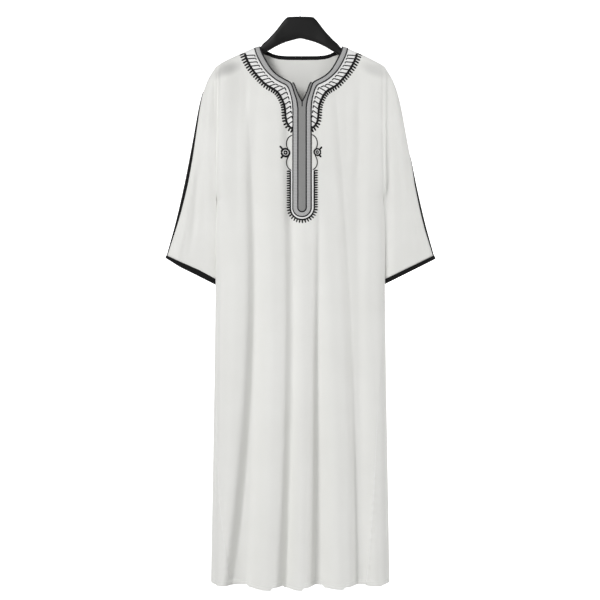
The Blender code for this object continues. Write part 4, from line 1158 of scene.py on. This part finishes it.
# Seam stitches. The gores' seams are felled, and sewn down with bright white mercerised cotton over
# their lower part, down to the turned hem.
SEAM_STITCH_WIDTH = 0.0017
SEAM_STITCH_LENGTH = 0.0032
SEAM_STITCH_START = 0.86

seam_drops = np.arange(SEAM_STITCH_START, HEM_DROP - HEM_TURN, STITCH_PITCH)
for side_name, side in SIDES:
    stitches = []
    for hand in (-1, 1):
        for drop in seam_drops:
            ends = np.array([drop, drop + SEAM_STITCH_LENGTH])
            stitches.append(Stroke(np.column_stack([hand * panel_edge(ends, side, hand), ends]),
                                   SEAM_STITCH_WIDTH))
    thread_object("seam_stitches_" + side_name, stitches, white_thread, side)

# Studio. White background paper that runs over the floor and curves up behind, bright at the back. A
# large soft lamp stands in front on the left, a weak one in front on the right, and a narrow one on the
# right skims over the folds. The surroundings are a dim even white.
STUDIO_FLOOR_Z = -1.80
PAPER_WIDTH = 10
PAPER_FRONT_Y = -5.0
PAPER_BEND_Y = 3.6
PAPER_RADIUS = 0.9
PAPER_HEIGHT = 4.6
PAPER_STEPS = 16
PAPER_GLOW = 0.95           # strength of the paper's own light, which rises over this stretch of y
PAPER_GLOW_Y = (0.5, 1.2)
LAMPS_AIM = Vector((0, 0, -0.45))
Lamp = namedtuple("Lamp", "name width height energy place")
LAMPS = [Lamp("key", 2.0, 2.8, 206, (-3.2, -4.9, 1.7)), Lamp("fill", 2.6, 3.0, 20, (4.4, -3.9, 1.2)),
         Lamp("side", 1.2, 3.0, 104, (6.0, -0.5, 0.8))]
SURROUNDINGS = 0.30
CAMERA_PLACE = (-0.0007, -2.7, -0.768)
CAMERA_LENS = 67.5          # millimetres, on a sensor this wide
CAMERA_SENSOR = 36
CAMERA_REACH = 50

bend = [(PAPER_FRONT_Y, 0), (PAPER_BEND_Y, 0)]
for i in range(1, PAPER_STEPS + 1):
    turn = math.pi / 2 * i / PAPER_STEPS
    bend.append((PAPER_BEND_Y + PAPER_RADIUS * math.sin(turn), PAPER_RADIUS * (1 - math.cos(turn))))
bend.append((PAPER_BEND_Y + PAPER_RADIUS, PAPER_HEIGHT))
mesh = bmesh.new()
profile = [mesh.verts.new((-PAPER_WIDTH / 2, y, STUDIO_FLOOR_Z + z)) for y, z in bend]
edges = [mesh.edges.new(pair) for pair in zip(profile, profile[1:])]
swept = bmesh.ops.extrude_edge_only(mesh, edges=edges)
bmesh.ops.translate(mesh, verts=[part for part in swept["geom"] if isinstance(part, bmesh.types.BMVert)],
                    vec=(PAPER_WIDTH, 0, 0))
bmesh.ops.recalc_face_normals(mesh, faces=mesh.faces)

# Coated background paper: matt and white, lit from behind where it hangs
paper, tree, shader = new_material("white_background_paper", Base_Color=linear("#D6D6D6"), Roughness=0.9,
                                   Emission_Color=linear("#FFFFFF"))
position = add(tree, "TexCoord").outputs["Object"]
place = add(tree, "SeparateXYZ", {}, {"Vector": position})
glow = add(tree, "MapRange", {"From Min": PAPER_GLOW_Y[0], "From Max": PAPER_GLOW_Y[1], "To Max": PAPER_GLOW},
           {"Value": place.outputs["Y"]})
tree.links.new(glow.outputs["Result"], shader.inputs["Emission Strength"])
backdrop = mesh_object("backdrop", mesh, paper)

for row in LAMPS:
    light = bpy.data.lights.new(row.name, "AREA")
    light.shape = "RECTANGLE"
    light.size, light.size_y = row.width, row.height
    light.energy = row.energy
    lamp = place_in_scene(row.name, light)
    lamp.location = row.place
    lamp.rotation_euler = (LAMPS_AIM - lamp.location).to_track_quat("-Z", "Y").to_euler()

world = bpy.data.worlds.new("studio")
world.use_nodes = True
world.node_tree.nodes["Background"].inputs["Color"].default_value = (1, 1, 1, 1)
world.node_tree.nodes["Background"].inputs["Strength"].default_value = SURROUNDINGS
bpy.context.scene.world = world
bpy.context.scene.view_settings.view_transform = "Standard"

camera = place_in_scene("camera", bpy.data.cameras.new("camera"))
camera.data.lens = CAMERA_LENS
camera.data.sensor_width = CAMERA_SENSOR
camera.data.clip_end = CAMERA_REACH
camera.location = CAMERA_PLACE
camera.rotation_euler = (math.pi / 2, 0, 0)
bpy.context.scene.camera = camera
